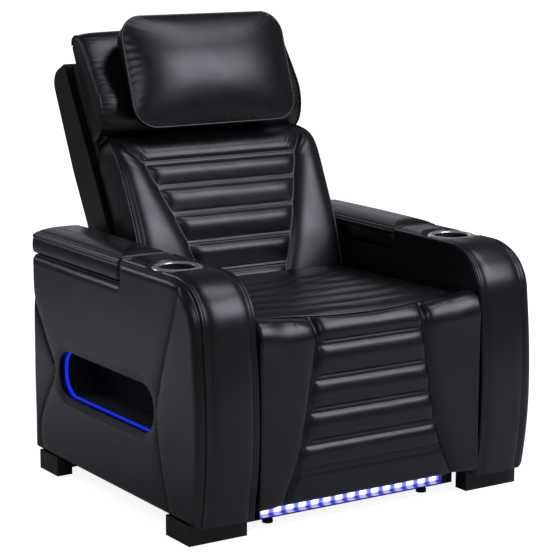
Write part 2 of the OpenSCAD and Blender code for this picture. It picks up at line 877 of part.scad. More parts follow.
// Linear drive along +Z: a tube for the rod that opens at z1, a gear case that starts at g0,
// a motor can beside it that runs back from the case, and a hanger that reaches hang_y
module drive_body(z0, z1, g0, can_side, hang_y) {
    low = can_side > 0 ? -gear_w / 2 : -can_off - can_r;
    high = can_side > 0 ? can_off + can_r : gear_w / 2;
    difference() {
        union() {
            translate([0, 0, z0]) cylinder(r = tube_r, h = z1 - z0);
            block([-gear_h / 2, low, g0], [gear_h / 2, high, g0 + case_l]);
            if (hang_y != 0)
                block([-hanger_w / 2, min(hang_y, 0), g0], [hanger_w / 2, max(hang_y, 0), g0 + hanger_l]);
            translate([0, can_side * can_off, g0 - can_l]) cylinder(r = can_r, h = can_l + eps);
        }
        translate([0, 0, z0 + tube_floor]) cylinder(r = rod_r + rod_clear, h = z1 - z0);
    }
}

// Rod along +Z from z0 to its yoke at z_pin. The yoke's slot lies along Y and takes the crank
// pin's path from low to high
module drive_rod(z0, z_pin, low, high) {
    gap = crank_pin_r + yoke_gap;
    translate([0, 0, z0]) cylinder(r = rod_r, h = z_pin - yoke_reach - z0 + eps);
    difference() {
        translate([-yoke_t / 2, low - yoke_reach, z_pin - yoke_reach])
            cube([yoke_t, high - low + 2 * yoke_reach, 2 * yoke_reach]);
        for (y = [low, high]) rod_x(-yoke_t, yoke_t, y, z_pin, gap);
        translate([-yoke_t, low, z_pin - gap]) cube([2 * yoke_t, high - low, 2 * gap]);
    }
}

// The footrest's drive hangs from the seat frame's rear rail and points forwards
foot_rod_z = (crank_pin_z + shaft_z - crank_l) / 2;
foot_travel = 2 * crank_l * sin(crank_start);
foot_tube_y = crank_pin_y + yoke_reach + tube_margin;

module at_foot_drive() {
    translate([foot_drive_x + yoke_t / 2, frame_rear, foot_rod_z]) rotate([90, 0, 0]) children();
}

module footrest_motor() {
    color("#3a3c40") placed() at_foot_drive()
        drive_body(0, frame_rear - foot_tube_y, 0, -1, frame_z - foot_rod_z);
}

module footrest_rod() {
    color("#b5b8bd") placed() at_foot_drive()
        drive_rod(frame_rear - foot_tube_y - foot_travel - rod_grip, frame_rear - crank_pin_y,
            shaft_z - crank_l - foot_rod_z, crank_pin_z - foot_rod_z);
}

// The back's drive hangs from the same rail and points to the rear
back_rod_z = (back_pin_z + back_pivot_z - back_crank_l) / 2;
back_travel = 2 * back_crank_l * sin(back_crank_start);
back_tube_gap = 6;
back_case_set = 62;
back_tube_y = back_pin_y - back_travel - yoke_reach - back_tube_gap;
back_case_y = frame_rear - back_case_set;
back_tube_l = 160;

module at_back_drive() {
    translate([back_drive_x + yoke_t / 2, 0, back_rod_z]) rotate([-90, 0, 0]) children();
}

module recline_motor() {
    color("#3a3c40") placed() at_back_drive() {
        drive_body(back_tube_y - back_tube_l, back_tube_y, back_case_y, 1, 0);
        block([-hanger_w / 2, back_rod_z - frame_z, back_case_y + case_l - hanger_l],
            [hanger_w / 2, -tube_r - 1, back_case_y + case_l]);
    }
}

module recline_rod() {
    color("#b5b8bd") placed() at_back_drive()
        drive_rod(back_tube_y - rod_grip, back_pin_y, back_rod_z - back_pin_z,
            back_rod_z - back_pivot_z + back_crank_l);
}

// The headrest's drive is fixed to the back's board and points up along the back
board_t0 = lumbar_rear + touch;
back_board_t = 12;
board_t1 = board_t0 + back_board_t;
head_rod_t = (head_pin_t + head_pivot_t + head_crank_l) / 2;
head_tube_s = head_pin_s - yoke_reach - tube_margin;
head_tube_l = 190;

module at_head_drive() {
    on_back() translate([head_drive_x + yoke_t / 2, head_rod_t, 0]) children();
}

module headrest_motor() {
    color("#3a3c40") placed() at_head_drive()
        drive_body(head_tube_s - head_tube_l, head_tube_s, head_tube_s - head_tube_l, 1,
            board_t1 - head_rod_t);
}

module headrest_rod() {
    color("#b5b8bd") placed() at_head_drive()
        drive_rod(head_tube_s - rod_grip, head_pin_s, head_pin_t - head_rod_t,
            head_pivot_t + head_crank_l - head_rod_t);
}

// Back

eye_r = 20;
hip_tube_r = 12;
shell_low = -20;
shell_step = 40;
shell_step_in = 8;
shell_belly = 245;
shell_belly_in = 11;
shell_front = 100;
eye_out = back_half_w - shell_step_in - shell_wall - touch;
board_low = 8;
board_high = 646;
head_low = lumbar_l + 2;
head_crank_root = head_low + 40;
window_half = 16;
window_low = head_pivot_s - 14;
window_high = head_crank_root + 13;
ear_w = 20;
ear_set = 32;
ear_in = back_half_w - ear_set;
ear_t = 6;
ear_pin_r = 4;

// Board, uprights, hip eyes, crank and headrest ears of the back, in one welded and bolted frame
module back_frame() {
    color("#8a6a45") placed() {
        on_back() {
            difference() {
                block([-eye_out, board_t0, board_low], [eye_out, board_t1, board_high]);
                block([-window_half, board_t0 - 1, window_low], [window_half, board_t1 + 1, window_high]);
            }
            block([-eye_out, board_t1 - eps, board_high - upright_w],
                [eye_out, board_t1 + upright_t, board_high]);
            for (side = [-1, 1]) sided(side) {
                block([eye_out - upright_w, board_t1 - eps, board_low],
                    [eye_out, board_t1 + upright_t, board_high]);
                along_x(ear_in, ear_in + ear_t)
                    bar_2d([board_t0 + 4, head_pivot_s], [head_pivot_t, head_pivot_s], ear_w);
                rod_x(ear_in, ear_in + 2 * ear_t + 2, head_pivot_t, head_pivot_s, ear_pin_r);
            }
        }
        for (side = [-1, 1]) sided(side) difference() {
            union() {
                along_x(eye_out - upright_w, eye_out) {
                    translate([back_pivot_y, back_pivot_z]) circle(r = eye_r);
                    bar_2d([back_pivot_y, back_pivot_z], [hip_y, hip_z], upright_t);
                }
                rod_x(0, eye_out - upright_w + eps, back_pivot_y, back_pivot_z, hip_tube_r);
            }
            rod_x(eye_out - upright_w - 1, eye_out + 1, back_pivot_y, back_pivot_z,
                pin_r + pin_clear);
        }
        along_x(back_drive_x - crank_side - link_t, back_drive_x - crank_side)
            bar_2d([back_pivot_y, back_pivot_z], [back_pin_y, back_pin_z], link_w);
        rod_x(back_drive_x - crank_side - eps, back_drive_x + yoke_t + 2, back_pin_y, back_pin_z,
            crank_pin_r);
    }
}

// Point of the uprights' foot in the chair's own frame
hip_s = board_low + upright_t / 2;
hip_t = board_t1 + upright_t / 2 - 1;
hip_y = back_y + hip_s * sin(back_lean) + hip_t * cos(back_lean);
hip_z = back_z + hip_s * cos(back_lean) - hip_t * sin(back_lean);

shell_belly_l = 150;
shell_knee_low = 300;
shell_knee_high = 487;
shell_lean_low = 8;
shell_lean_high = 23;
shell_lean_top = 37;

// Side outline of the rear shell, drawn in (through the back, along the back)
module shell_outline(inset, front, low) {
    rear = shell_rear - inset;
    top = shell_top - inset;
    polygon([[front, low], [front, top], [shell_rear - shell_round, top],
        [rear, shell_top - shell_round], [rear, shell_belly + shell_belly_l],
        [rear - shell_belly_in, shell_belly], [rear - shell_belly_in, low]]);
    translate([shell_rear - shell_round, shell_top - shell_round]) circle(r = shell_round - inset);
}

module back_shell() {
    color("#1a1a1d") placed() difference() {
        on_back() difference() {
            union() {
                along_x(-back_half_w, back_half_w) difference() {
                    shell_outline(0, shell_front, shell_step);
                    polygon([[0, shell_step - 1], [shell_front + 1, shell_step - 1],
                        [shell_front + shell_lean_low, shell_knee_low],
                        [shell_front + shell_lean_high, shell_knee_high],
                        [shell_front + shell_lean_top, shell_top],
                        [shell_front + shell_lean_top + 9, shell_top + 15],
                        [0, shell_top + 15]]);
                }
                along_x(-back_half_w + shell_step_in, back_half_w - shell_step_in) intersection() {
                    shell_outline(0, shell_front, shell_low);
                    translate([0, shell_low]) square([shell_rear, shell_step - shell_low + 2]);
                }
            }
            along_x(-back_half_w + shell_step_in + shell_wall,
                back_half_w - shell_step_in - shell_wall) shell_outline(shell_wall, 0, shell_low - 1);
        }
        rod_x(-back_half_w, back_half_w, back_pivot_y, back_pivot_z, eye_r);
    }
}

// Cushions

// Closed form from a list of rings with the same number of points each
module loft(rings) {
    n = len(rings[0]);
    m = len(rings);
    sides = [for (i = [0 : m - 2]) for (j = [0 : n - 1])
        let (a = i * n + j, b = i * n + (j + 1) % n) each [[a, b + n, b], [a, a + n, b + n]]];
    first = [for (j = [1 : n - 2]) [0, j, j + 1]];
    last = [for (j = [1 : n - 2]) [(m - 1) * n, (m - 1) * n + j + 1, (m - 1) * n + j]];
    polyhedron([for (r = rings) each r], concat(sides, first, last));
}

// Set-back of a rounded end: size at the end itself, nothing once reach away from it
function round_in(away, reach, size) =
    away >= reach ? 0 : size * (1 - sqrt(1 - pow(1 - away / reach, 2)));

seam_shoulder = 7;

// Right half of a cushion's face as (x, depth) points: w is the half width, f the depth of the
// face at its edge, xs the seam's half width, b the bulge, g the groove of a cross channel,
// sg the groove of the seam and e the rounding of the edge
function face_half(w, f, xs, b, g, sg, e) = [
    [w, f + e], [w - 0.35 * e, f + 0.3 * e], [w - e, f - 0.15 * b], [(w + xs) / 2, f - b],
    [xs + seam_shoulder, f - 0.7 * b], [xs, f - 0.7 * b + sg],
    [xs - seam_shoulder, f - 0.7 * b + g], [xs / 2, f - 0.92 * b + g]
];

// Whole section of a cushion between its face and its flat rear at depth r
function section(w, f, r, xs, b, g, sg, edge) =
    let (e = min(edge, (r - f) / 2), half = face_half(w, f, xs, b, g, sg, e))
    concat([for (p = half) [-p[0], p[1]]], [[0, f - b + g]],
        [for (i = [len(half) - 1 : -1 : 0]) half[i]],
        [[w, r - e / 2], [w - e / 2, r], [-w + e / 2, r], [-w, r - e / 2]]);

// Stops along a cushion round each sewn channel: shoulder, channel, shoulder, crest
function channel_stops(first, pitch, count) =
    [for (i = [0 : count - 1]) let (p = first + i * pitch)
        each [p - seam_shoulder, p, p + seam_shoulder, p + pitch / 2]];

// Depth of the groove at s: full on a channel, nothing elsewhere
function groove(s, first, pitch, count) =
    min([for (i = [0 : count - 1]) abs(s - first - i * pitch)]) < 1 ? channel_d : 0;

// Stops that close in on the rounded end at b
function end_stops(a, b, count) = [for (k = [1 : count]) a + (b - a) * sin(90 * k / count)];

// Stops that open out from the rounded end at a
function start_stops(a, b, count) = [for (k = [0 : count - 1]) a + (b - a) * (1 - cos(90 * k / count))];

edge_round = 16;

seat_first = step_y + 24;
seat_pitch = (seat_rear - 30 - seat_first) / seat_channels;
roll_end = roll_y + roll_r;
function seat_u(y) = max(0, y - roll_end) / (seat_rear - roll_end);
function seat_z(y) = (y < roll_end
    ? seat_roll_z + sqrt(max(0, pow(roll_r, 2) - pow(roll_end - y, 2)))
    : seat_top + seat_crown * sin(180 * seat_u(y)) - seat_drop * pow(seat_u(y), 2))
    - round_in(seat_rear - y, 28, 26);
function seat_w(y) = cushion_w - 4 * sin(180 * seat_u(y));
function seat_ring(y) = [for (p = section(seat_w(y), -seat_z(y) + 3 * min(1, seat_u(y) * 8),
        y < step_y + 0.5 ? -pad_split - 1 : -seat_under, cushion_w / 2, 3 * min(1, seat_u(y) * 8),
        groove(y, seat_first, seat_pitch, seat_channels),
        groove(y, seat_first, seat_pitch, seat_channels), edge_round)) [p[0], y, -p[1]]];

module seat_cushion() {
    last = seat_first + (seat_channels - 0.5) * seat_pitch;
    stops = concat(start_stops(roll_y, roll_end, 5), [roll_end, step_y, step_y + 1],
        channel_stops(seat_first, seat_pitch, seat_channels), end_stops(last, seat_rear, 4));
    color("#1c1c20") placed() loft([for (y = stops) seat_ring(y)]);
}

pad_top = pad_split - 1;
pad_first = pad_split - 6 - pad_channels * pad_pitch;
function pad_seam(z) = pad_seam_top
    + pad_seam_flare * pow(max(0, pad_split - z) / (pad_split - pad_low), 1.6);
function pad_fade(z) = min(1, (z - pad_low) / 30);
function pad_ring(z) = [for (p = section(cushion_w - 5 * sin(180 * (z - pad_low) / (pad_split - pad_low))
        - round_in(z - pad_low, 20, 10),
        roll_y + pad_bulge + round_in(z - pad_low, 26, 24), roll_y + pad_d, pad_seam(z),
        pad_bulge * pad_fade(z), groove(z, pad_first, pad_pitch, pad_channels),
        channel_d * pad_fade(z), edge_round)) [p[0], p[1], z]];

module footrest_cushion() {
    last = pad_first + (pad_channels - 0.5) * pad_pitch;
    stops = concat(start_stops(pad_low, pad_low + 26, 4),
        channel_stops(pad_first, pad_pitch, pad_channels), [last + pad_pitch / 4, pad_top]);
    color("#1c1c20") placed() loft([for (z = stops) pad_ring(z)]);
}

ear_gap = 4;

// Room in the cushions for the headrest's ears and pins, from low to high up the back
module ear_room(low, high) {
    for (side = [-1, 1]) sided(side)
        block([ear_in - ear_gap, head_pivot_t - ear_w / 2 - ear_gap, low],
            [ear_in + 2 * ear_t + 2 + ear_gap, lumbar_rear + 1, high]);
}

lumbar_round = 80;
lumbar_side_gap = 5;
lumbar_waist = 4;
function lumbar_face(s) = -12 + 10 * pow((s - 200) / 200, 2) + round_in(s, 30, 34)
    + round_in(lumbar_l - s, lumbar_round, lumbar_rear - 5);
function lumbar_fade(s) = min(1, s / 50) * min(1, (lumbar_l - s) / 90);
function lumbar_ring(s) = [for (p = section(back_half_w - lumbar_side_gap
        - lumbar_waist * sin(180 * s / lumbar_l) - round_in(s, 20, 8) - round_in(lumbar_l - s, 60, 16),
        min(lumbar_face(s), lumbar_rear - 8), lumbar_rear, lumbar_seam_low + lumbar_seam_slope * s,
        lumbar_bulge * lumbar_fade(s), groove(s, lumbar_first, lumbar_pitch, lumbar_channels),
        channel_d * lumbar_fade(s), edge_round)) [p[0], p[1], s]];

module lumbar_cushion() {
    last = lumbar_first + (lumbar_channels - 0.5) * lumbar_pitch;
    stops = concat(start_stops(0, lumbar_first - 14, 4),
        channel_stops(lumbar_first, lumbar_pitch, lumbar_channels), end_stops(last, lumbar_l, 5));
    color("#1c1c20") placed() on_back() difference() {
        loft([for (s = stops) lumbar_ring(s)]);
        ear_room(head_pivot_s - ear_w / 2 - ear_gap, lumbar_l + 1);
    }
}

// Headrest

head_tuck_l = 84;
head_tuck_t = 74;
head_cap_l = 30;
head_cap_t = 44;
head_lean = 0.18;
head_belly = 511;
head_bulge = 6;
head_face = 4;
function head_front(s) = head_face + head_lean * max(0, s - head_belly);
function head_ring(s) = [for (p = section(back_half_w - 3 - round_in(head_top - s, head_cap_l, 16)
        - round_in(s - head_low, 30, 8),
        min(head_front(s) + round_in(s - head_low, head_tuck_l, head_tuck_t)
            + round_in(head_top - s, 24, head_cap_t), head_rear - 6),
        head_rear, back_half_w * 0.7, head_bulge * min(1, (s - head_low) / 60, (head_top - s) / head_cap_l),
        0, 0, edge_round)) [p[0], p[1], s]];

module headrest_cushion() {
    mid = head_low + head_tuck_l;
    stops = concat(start_stops(head_low, mid, 6),
        [for (k = [0 : 3]) mid + k * (head_top - head_cap_l - mid) / 3],
        end_stops(head_top - head_cap_l, head_top, 5));
    color("#1c1c20") placed() on_back() difference() {
        loft([for (s = stops) head_ring(s)]);
        ear_room(head_low - 1, head_low + 31);
    }
}

head_board_t0 = head_rear + touch;
head_ear_in = ear_in + ear_t + 1;
head_ear_w = 18;

module headrest_frame() {
    color("#8a6a45") placed() on_back() {
        block([-back_half_w + 22, head_board_t0, head_low + 12],
            [back_half_w - 22, head_board_t0 + head_board_t, head_top - 20]);
        for (side = [-1, 1]) sided(side) difference() {
            along_x(head_ear_in, head_ear_in + ear_t)
                bar_2d([head_board_t0 + 1, head_low + 18], [head_pivot_t, head_pivot_s], head_ear_w);
            rod_x(ear_in, head_ear_in + ear_t + 1, head_pivot_t, head_pivot_s, ear_pin_r + pin_clear);
        }
        along_x(head_drive_x - crank_side - link_t, head_drive_x - crank_side)
            bar_2d([head_board_t0 + head_board_t, head_crank_root],
                [head_pin_t, head_pin_s], head_ear_w);
        rod_x(head_drive_x - crank_side - eps, head_drive_x + yoke_t + 2, head_pin_t, head_pin_s,
            crank_pin_r);
    }
}

pillow_edge_t = 18;
pillow_tail = 0.35;
function pillow_u(s) = (s - pillow_low) / (pillow_high - pillow_low);
function pillow_thick(s) = pillow_edge_t
    + (pillow_t - pillow_edge_t) * (1 - pow(abs(2 * pillow_u(s) - 1), 3.2));
function pillow_rear(s) = head_front(s) - head_bulge - touch - pillow_tail * (pillow_t - pillow_thick(s));
function pillow_ring(s) = [for (p = section(
        pillow_half_w - round_in(s - pillow_low, 60, 44) - round_in(pillow_high - s, 60, 44),
        pillow_rear(s) - pillow_thick(s), pillow_rear(s), pillow_half_w * 0.5, 0, 0, 0,
        0.45 * pillow_thick(s))) [p[0], p[1], s]];

module pillow() {
    mid = (pillow_low + pillow_high) / 2;
    stops = concat(start_stops(pillow_low, mid, 8), [mid], end_stops(mid, pillow_high, 8));
    color("#1c1c20") placed() on_back() loft([for (s = stops) pillow_ring(s)]);
}

// Controls, on the seat side of the left arm

panel_body_x = 12;
rocker_x = arm_in + 1;
rocker_half_t = 5;
rocker_pin_r = 1.5;
rocker_pin_l = 4;
recline_switch_y = panel_y - 34;
headrest_switch_y = panel_y + 8;
light_button_y = panel_y + 44;
button_fit = 0.1;

module control_panel() {
    color("#2c2d31") placed() sided(-1) difference() {
        union() {
            block([arm_in - panel_face, panel_y - panel_l / 2, panel_z - panel_h / 2],
                [arm_in, panel_y + panel_l / 2, panel_z + panel_h / 2]);
            block([arm_in - eps, panel_y - panel_l / 2 + panel_lip + 0.5,
                    panel_z - panel_h / 2 + panel_lip + 0.5],
                [arm_in + panel_body_x, panel_y + panel_l / 2 - panel_lip - 0.5,
                    panel_z + panel_h / 2 - panel_lip - 0.5]);
        }
        for (y = [recline_switch_y, headrest_switch_y]) {
            block([arm_in - panel_face - 1, y - rocker_l / 2 - switch_clear,
                    panel_z - rocker_h / 2 - switch_clear],
                [arm_in + panel_body_x + 1, y + rocker_l / 2 + switch_clear,
                    panel_z + rocker_h / 2 + switch_clear]);
            translate([rocker_x, y, panel_z - rocker_h / 2 - rocker_pin_l])
                cylinder(r = rocker_pin_r + pin_clear, h = rocker_h + 2 * rocker_pin_l);
        }
        rod_x(arm_in - panel_face - 1, arm_in + panel_body_x + 1, light_button_y, panel_z,
            button_r + button_fit);
    }
}

module rocker(y) {
    color("#4a4c52") placed() sided(-1) {
        block([rocker_x - rocker_half_t, y - rocker_l / 2, panel_z - rocker_h / 2],
            [rocker_x + rocker_half_t, y + rocker_l / 2, panel_z + rocker_h / 2]);
        translate([rocker_x, y, panel_z - rocker_h / 2 - rocker_pin_l + 1])
            cylinder(r = rocker_pin_r, h = rocker_h + 2 * rocker_pin_l - 2);
    }
}

module light_button() {
    color("#6d7bd8") placed() sided(-1)
        rod_x(arm_in - panel_face - button_travel, arm_in + panel_body_x - button_travel - 1,
            light_button_y, panel_z, button_r);
}

outer_panel(-1);  // left_outer_panel
outer_panel(1);  // right_outer_panel
inner_panel(-1);  // left_inner_panel
inner_panel(1);  // right_inner_panel
arm_band(-1);  // left_arm_band
arm_band(1);  // right_arm_band
arm_rear_board(-1);  // left_arm_rear_board
arm_rear_board(1);  // right_arm_rear_board
lid(-1);  // left_lid
lid(1);  // right_lid
lid_hinge(-1);  // left_lid_hinge
lid_hinge(1);  // right_lid_hinge
lid_leaf(-1);  // left_lid_leaf
lid_leaf(1);  // right_lid_leaf
storage_bin(-1);  // left_storage_bin
storage_bin(1);  // right_storage_bin
cup_holder(-1);  // left_cup_holder
cup_holder(1);  // right_cup_holder
side_pocket(-1);  // left_side_pocket
side_pocket(1);  // right_side_pocket
pocket_light(-1);  // left_pocket_light
pocket_light(1);  // right_pocket_light
foot(-1, foot_front_set, 1, front_foot_l);  // left_front_foot
foot(1, foot_front_set, 1, front_foot_l);  // right_front_foot
foot(-1, arm_rear - foot_rear_set, -1, rear_foot_l);  // left_rear_foot
foot(1, arm_rear - foot_rear_set, -1, rear_foot_l);  // right_rear_foot
base_rail(front_rail_y);  // front_rail
base_rail(rear_rail_y);  // rear_rail
glides();
side_plate(-1);  // left_side_plate
side_plate(1);  // right_side_plate
pivot_pins();
rear_cover();
light_bar();
light_bar_lamps();
seat_frame();
seat_springs();
seat_cushion();
footrest_frame();
footrest_cushion();
drive_shaft();
coupler_links();
footrest_motor();
footrest_rod();
recline_motor();
recline_rod();
headrest_motor();
headrest_rod();
power_supply();
back_frame();
back_shell();
lumbar_cushion();
headrest_frame();
headrest_cushion();
pillow();
control_panel();
rocker(recline_switch_y);  // recline_switch
rocker(headrest_switch_y);  // headrest_switch
light_button();
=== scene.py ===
"""How the power recliner looks: its leather covers with their seams, welts and stitches, the materials of
every other part, the lamps, the light and the camera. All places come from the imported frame. Shapes are in
millimetres, in the chair's own frame: x to the viewer's right, y back from the arms' front, z up. Materials,
lights and the camera are in the frame's metres."""
import math
import bpy
import numpy as np
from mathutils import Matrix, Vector


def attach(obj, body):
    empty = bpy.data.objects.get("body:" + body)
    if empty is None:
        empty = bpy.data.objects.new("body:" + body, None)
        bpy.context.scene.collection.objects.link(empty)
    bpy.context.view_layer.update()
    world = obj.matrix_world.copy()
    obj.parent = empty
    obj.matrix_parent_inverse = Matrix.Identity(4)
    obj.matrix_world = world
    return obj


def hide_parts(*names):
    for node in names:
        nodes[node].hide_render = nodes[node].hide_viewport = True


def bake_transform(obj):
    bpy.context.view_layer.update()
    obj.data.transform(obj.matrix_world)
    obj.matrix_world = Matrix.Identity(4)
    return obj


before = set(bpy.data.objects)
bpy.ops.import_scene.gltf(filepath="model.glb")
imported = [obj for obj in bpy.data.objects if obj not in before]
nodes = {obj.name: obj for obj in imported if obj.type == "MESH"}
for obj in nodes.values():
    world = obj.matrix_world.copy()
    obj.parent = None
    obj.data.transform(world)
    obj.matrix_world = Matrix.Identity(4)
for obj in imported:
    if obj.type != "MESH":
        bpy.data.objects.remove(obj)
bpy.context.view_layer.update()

HALF_DEPTH = 510.386            # from the arms' front to the frame's origin
LEAN = math.radians(25.5)       # the back's lean at rest
BACK_Y, BACK_Z = 555.0, 480.0   # where the leaning back's own lengths start
CUP_X, CUP_Y = 397.5, 231.5     # the cup holders' axes
SIDES = ((-1, "left"), (1, "right"))


# ---------------------------------------------------------------- shapes

def to_row(points):
    """Chair millimetres to the frame's metres."""
    p = np.array(points, float)
    p[..., 1] -= HALF_DEPTH
    return p / 1000


def on_back(x, t, s):
    """A point of the leaning back: t square to the back, rearward, and s up along it."""
    x, t, s = np.broadcast_arrays(np.asarray(x, float), t, s)
    y = BACK_Y + s * math.sin(LEAN) + t * math.cos(LEAN)
    z = BACK_Z + s * math.cos(LEAN) - t * math.sin(LEAN)
    return np.stack([x, y, z], -1)


def smooth(a, b, x):
    """0 before a, 1 after b, with a soft step between."""
    t = np.clip((np.asarray(x, float) - a) / (b - a), 0, 1)
    return t * t * (3 - 2 * t)


def crease(d, width):
    """1 on a seam line and 0 away from it, falling off fast at first, as leather pulled in by a thread."""
    return np.exp(-np.abs(d) / width)


def ripple(a, b, seed):
    """Slow unevenness from -1 to 1: a sum of three sine waves in two directions."""
    k = 0.9 + 0.37 * np.sin(seed * 1.7)
    return (np.sin(a * 0.021 * k + b * 0.013 + seed) + np.sin(a * 0.009 - b * 0.027 * k + 2.1 * seed)
            + np.sin(a * 0.037 + b * 0.031 * k + 0.7 * seed)) / 3


def unit(v):
    """Each row of an array at length one."""
    return v / np.linalg.norm(v, axis=1)[:, None]


def run_of(line):
    """How far along a line each of its points lies."""
    return np.concatenate([[0], np.cumsum(np.linalg.norm(np.diff(line, axis=0), axis=1))])


def even(line, count, to_end=True):
    """Count points at equal steps along a line, with or without its last point."""
    line = np.asarray(line, float)
    run = run_of(line)
    at = np.linspace(0, run[-1], count, endpoint=to_end)
    return np.stack([np.interp(at, run, line[:, k]) for k in range(line.shape[1])], -1)


def spaced(line, step, closed=False):
    """The same line with points at equal steps of about the given length."""
    if closed:
        line = np.concatenate([line, line[:1]])
    points = even(line, max(2, int(round(run_of(line)[-1] / step)) + 1))
    return points[:-1] if closed else points


def relax(rows, turns):
    """Averages each row with its neighbours, in place and the given number of times. Both ends stay."""
    for _ in range(turns):
        rows[1:-1] = 0.25 * rows[:-2] + 0.5 * rows[1:-1] + 0.25 * rows[2:]
    return rows


def to_line(y, z, line):
    """Distance from points (y, z) to a line of points."""
    best = np.full(np.shape(y), 1e9)
    line = np.asarray(line, float)
    for a, b in zip(line[:-1], line[1:]):
        d = b - a
        if d @ d < 1e-9:
            continue
        t = np.clip(((y - a[0]) * d[0] + (z - a[1]) * d[1]) / (d @ d), 0, 1)
        best = np.minimum(best, np.hypot(y - a[0] - t * d[0], z - a[1] - t * d[1]))
    return best


def quads_of(nu, nv, wrap_u=False, wrap_v=False):
    """The four corners of each face of a grid of nu by nv points."""
    u, v = np.meshgrid(np.arange(nu - (not wrap_u)), np.arange(nv - (not wrap_v)), indexing="ij")
    u2, v2 = (u + 1) % nu, (v + 1) % nv
    return np.stack([u * nv + v, u2 * nv + v, u2 * nv + v2, u * nv + v2], -1).reshape(-1, 4)


def piece(name, points, quads, body, look, tris=(), seam=None, inside=None):
    """One mesh of its own from chair-frame points, with a look (material, slot). Its faces are turned to look
    away from the point inside, or from the points' middle. Where no body is given, it is attached to none."""
    p = to_row(points)
    quads = np.asarray(quads, int).reshape(-1, 4)
    tris = np.asarray(tris, int).reshape(-1, 3)
    centre = p.mean(0) if inside is None else to_row(inside)
    outward = 0.0
    for f, (a, b, c, d) in ((quads, (0, 2, 1, 3)), (tris, (0, 1, 0, 2))):
        normal = np.cross(p[f[:, b]] - p[f[:, a]], p[f[:, d]] - p[f[:, c]])
        outward += float((normal * (p[f].mean(1) - centre)).sum())
    if outward < 0:
        quads, tris = quads[:, ::-1], tris[:, ::-1]
    mesh = bpy.data.meshes.new(name)
    mesh.vertices.add(len(p))
    mesh.vertices.foreach_set("co", p.astype(np.float32).ravel())
    mesh.loops.add(quads.size + tris.size)
    mesh.loops.foreach_set("vertex_index", np.concatenate([quads.ravel(), tris.ravel()]).astype(np.int32))
    mesh.polygons.add(len(quads) + len(tris))
    starts = np.concatenate([np.arange(len(quads)) * 4, quads.size + np.arange(len(tris)) * 3])
    mesh.polygons.foreach_set("loop_start", starts.astype(np.int32))
    mesh.update(calc_edges=True)
    mesh.validate()
    # seam: 1 on seam lines, grooves and creases; the leather materials darken there, painted shade
    if seam is not None:
        mesh.attributes.new("seam", "FLOAT", "POINT").data.foreach_set(
            "value", np.clip(seam.ravel(), 0, 1).astype(np.float32))
    mesh.shade_smooth()
    mesh.materials.append(look[0])
    obj = bpy.data.objects.new(name, mesh)
    bpy.context.scene.collection.objects.link(obj)
    if body:
        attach(obj, body)
    return obj


def loft(name, rings, body, look, seam):
    """Closed rings of points joined one to the next, both ends closed by a fan to the ring's middle."""
    nu, nv = rings.shape[:2]
    p = np.concatenate([rings.reshape(-1, 3), rings[0].mean(0)[None], rings[-1].mean(0)[None]])
    k = np.arange(nv)
    k2 = (k + 1) % nv
    low = np.stack([np.full(nv, nu * nv), k, k2], -1)
    high = np.stack([np.full(nv, nu * nv + 1), (nu - 1) * nv + k2, (nu - 1) * nv + k], -1)
    seam = np.concatenate([seam.ravel(), [seam[0].mean(), seam[-1].mean()]])
    return piece(name, p, quads_of(nu, nv, wrap_v=True), body, look, np.concatenate([low, high]), seam)


def circles(side, up, sides):
    """A unit circle of points for each pair of directions."""
    a = np.linspace(0, 2 * math.pi, sides, endpoint=False)[:, None]
    return np.cos(a) * side[:, None] + np.sin(a) * up[:, None]


def tube(name, line, radius, body, look, closed=False):
    """A round welt cord swept along a line of points: a circle square to the line at each point."""
    along = np.roll(line, -1, 0) - np.roll(line, 1, 0) if closed else np.gradient(line, axis=0)
    along = unit(along)
    side = np.cross(along, [0.31, 0.17, 0.94])
    for k in range(1, len(side)):
        side[k] = side[k - 1] - along[k] * (side[k - 1] @ along[k])
    side = unit(side)
    rings = line[:, None] + radius * circles(side, np.cross(along, side), 8)
    no_seam = np.zeros(rings.shape[:2])
    if closed:
        piece(name, rings.reshape(-1, 3), quads_of(len(line), 8, True, True), body, look, seam=no_seam)
    else:
        loft(name, rings, body, look, no_seam)


def stitches(name, lines, body, slot):
    """Thread stitches along lines on the leather: short six-sided beads, sunk at both ends."""
    pitch, length, radius = 7.0, 4.6, 0.55
    lines = [spaced(line, pitch) for line in lines]
    p, d = np.concatenate(lines), unit(np.concatenate([np.gradient(line, axis=0) for line in lines]))
    side = unit(np.cross(d, [0.29, 0.13, 0.95]))
    ring = circles(side, np.cross(d, side), 6)
    rings = np.stack([p[:, None] + d[:, None] * along * length + ring * radius * r
                      for along, r in ((-0.5, 0.45), (-0.3, 1.0), (0.3, 1.0), (0.5, 0.45))], 1)
    ends = np.array([[0, 1, 2, 3], [0, 3, 4, 5], [21, 20, 19, 18], [23, 22, 21, 18]])
    bead = np.concatenate([quads_of(4, 6, wrap_v=True), ends])
    faces = bead[None] + 24 * np.arange(len(p))[:, None, None]
    piece(name, rings.reshape(-1, 3), faces, body, (THREAD, slot))


# ---------------------------------------------------------------- materials

def feed(tree, inputs, values):
    """Links inputs to sockets or sets them to values, by name or number. A tuple is a colour."""
    for key, value in values.items():
        if isinstance(value, bpy.types.NodeSocket):
            tree.links.new(value, inputs[key])
        else:
            inputs[key].default_value = (*value, 1) if isinstance(value, tuple) else value


def node(tree, kind, values=None):
    """A new shader node with some of its inputs linked or set."""
    n = tree.nodes.new("ShaderNode" + kind)
    feed(tree, n.inputs, values or {})
    return n


def calc(tree, operation, *values, clamp=False):
    """The result of a Math node, its inputs links or numbers."""
    n = node(tree, "Math", dict(enumerate(values)))
    n.operation, n.use_clamp = operation, clamp
    return n.outputs[0]


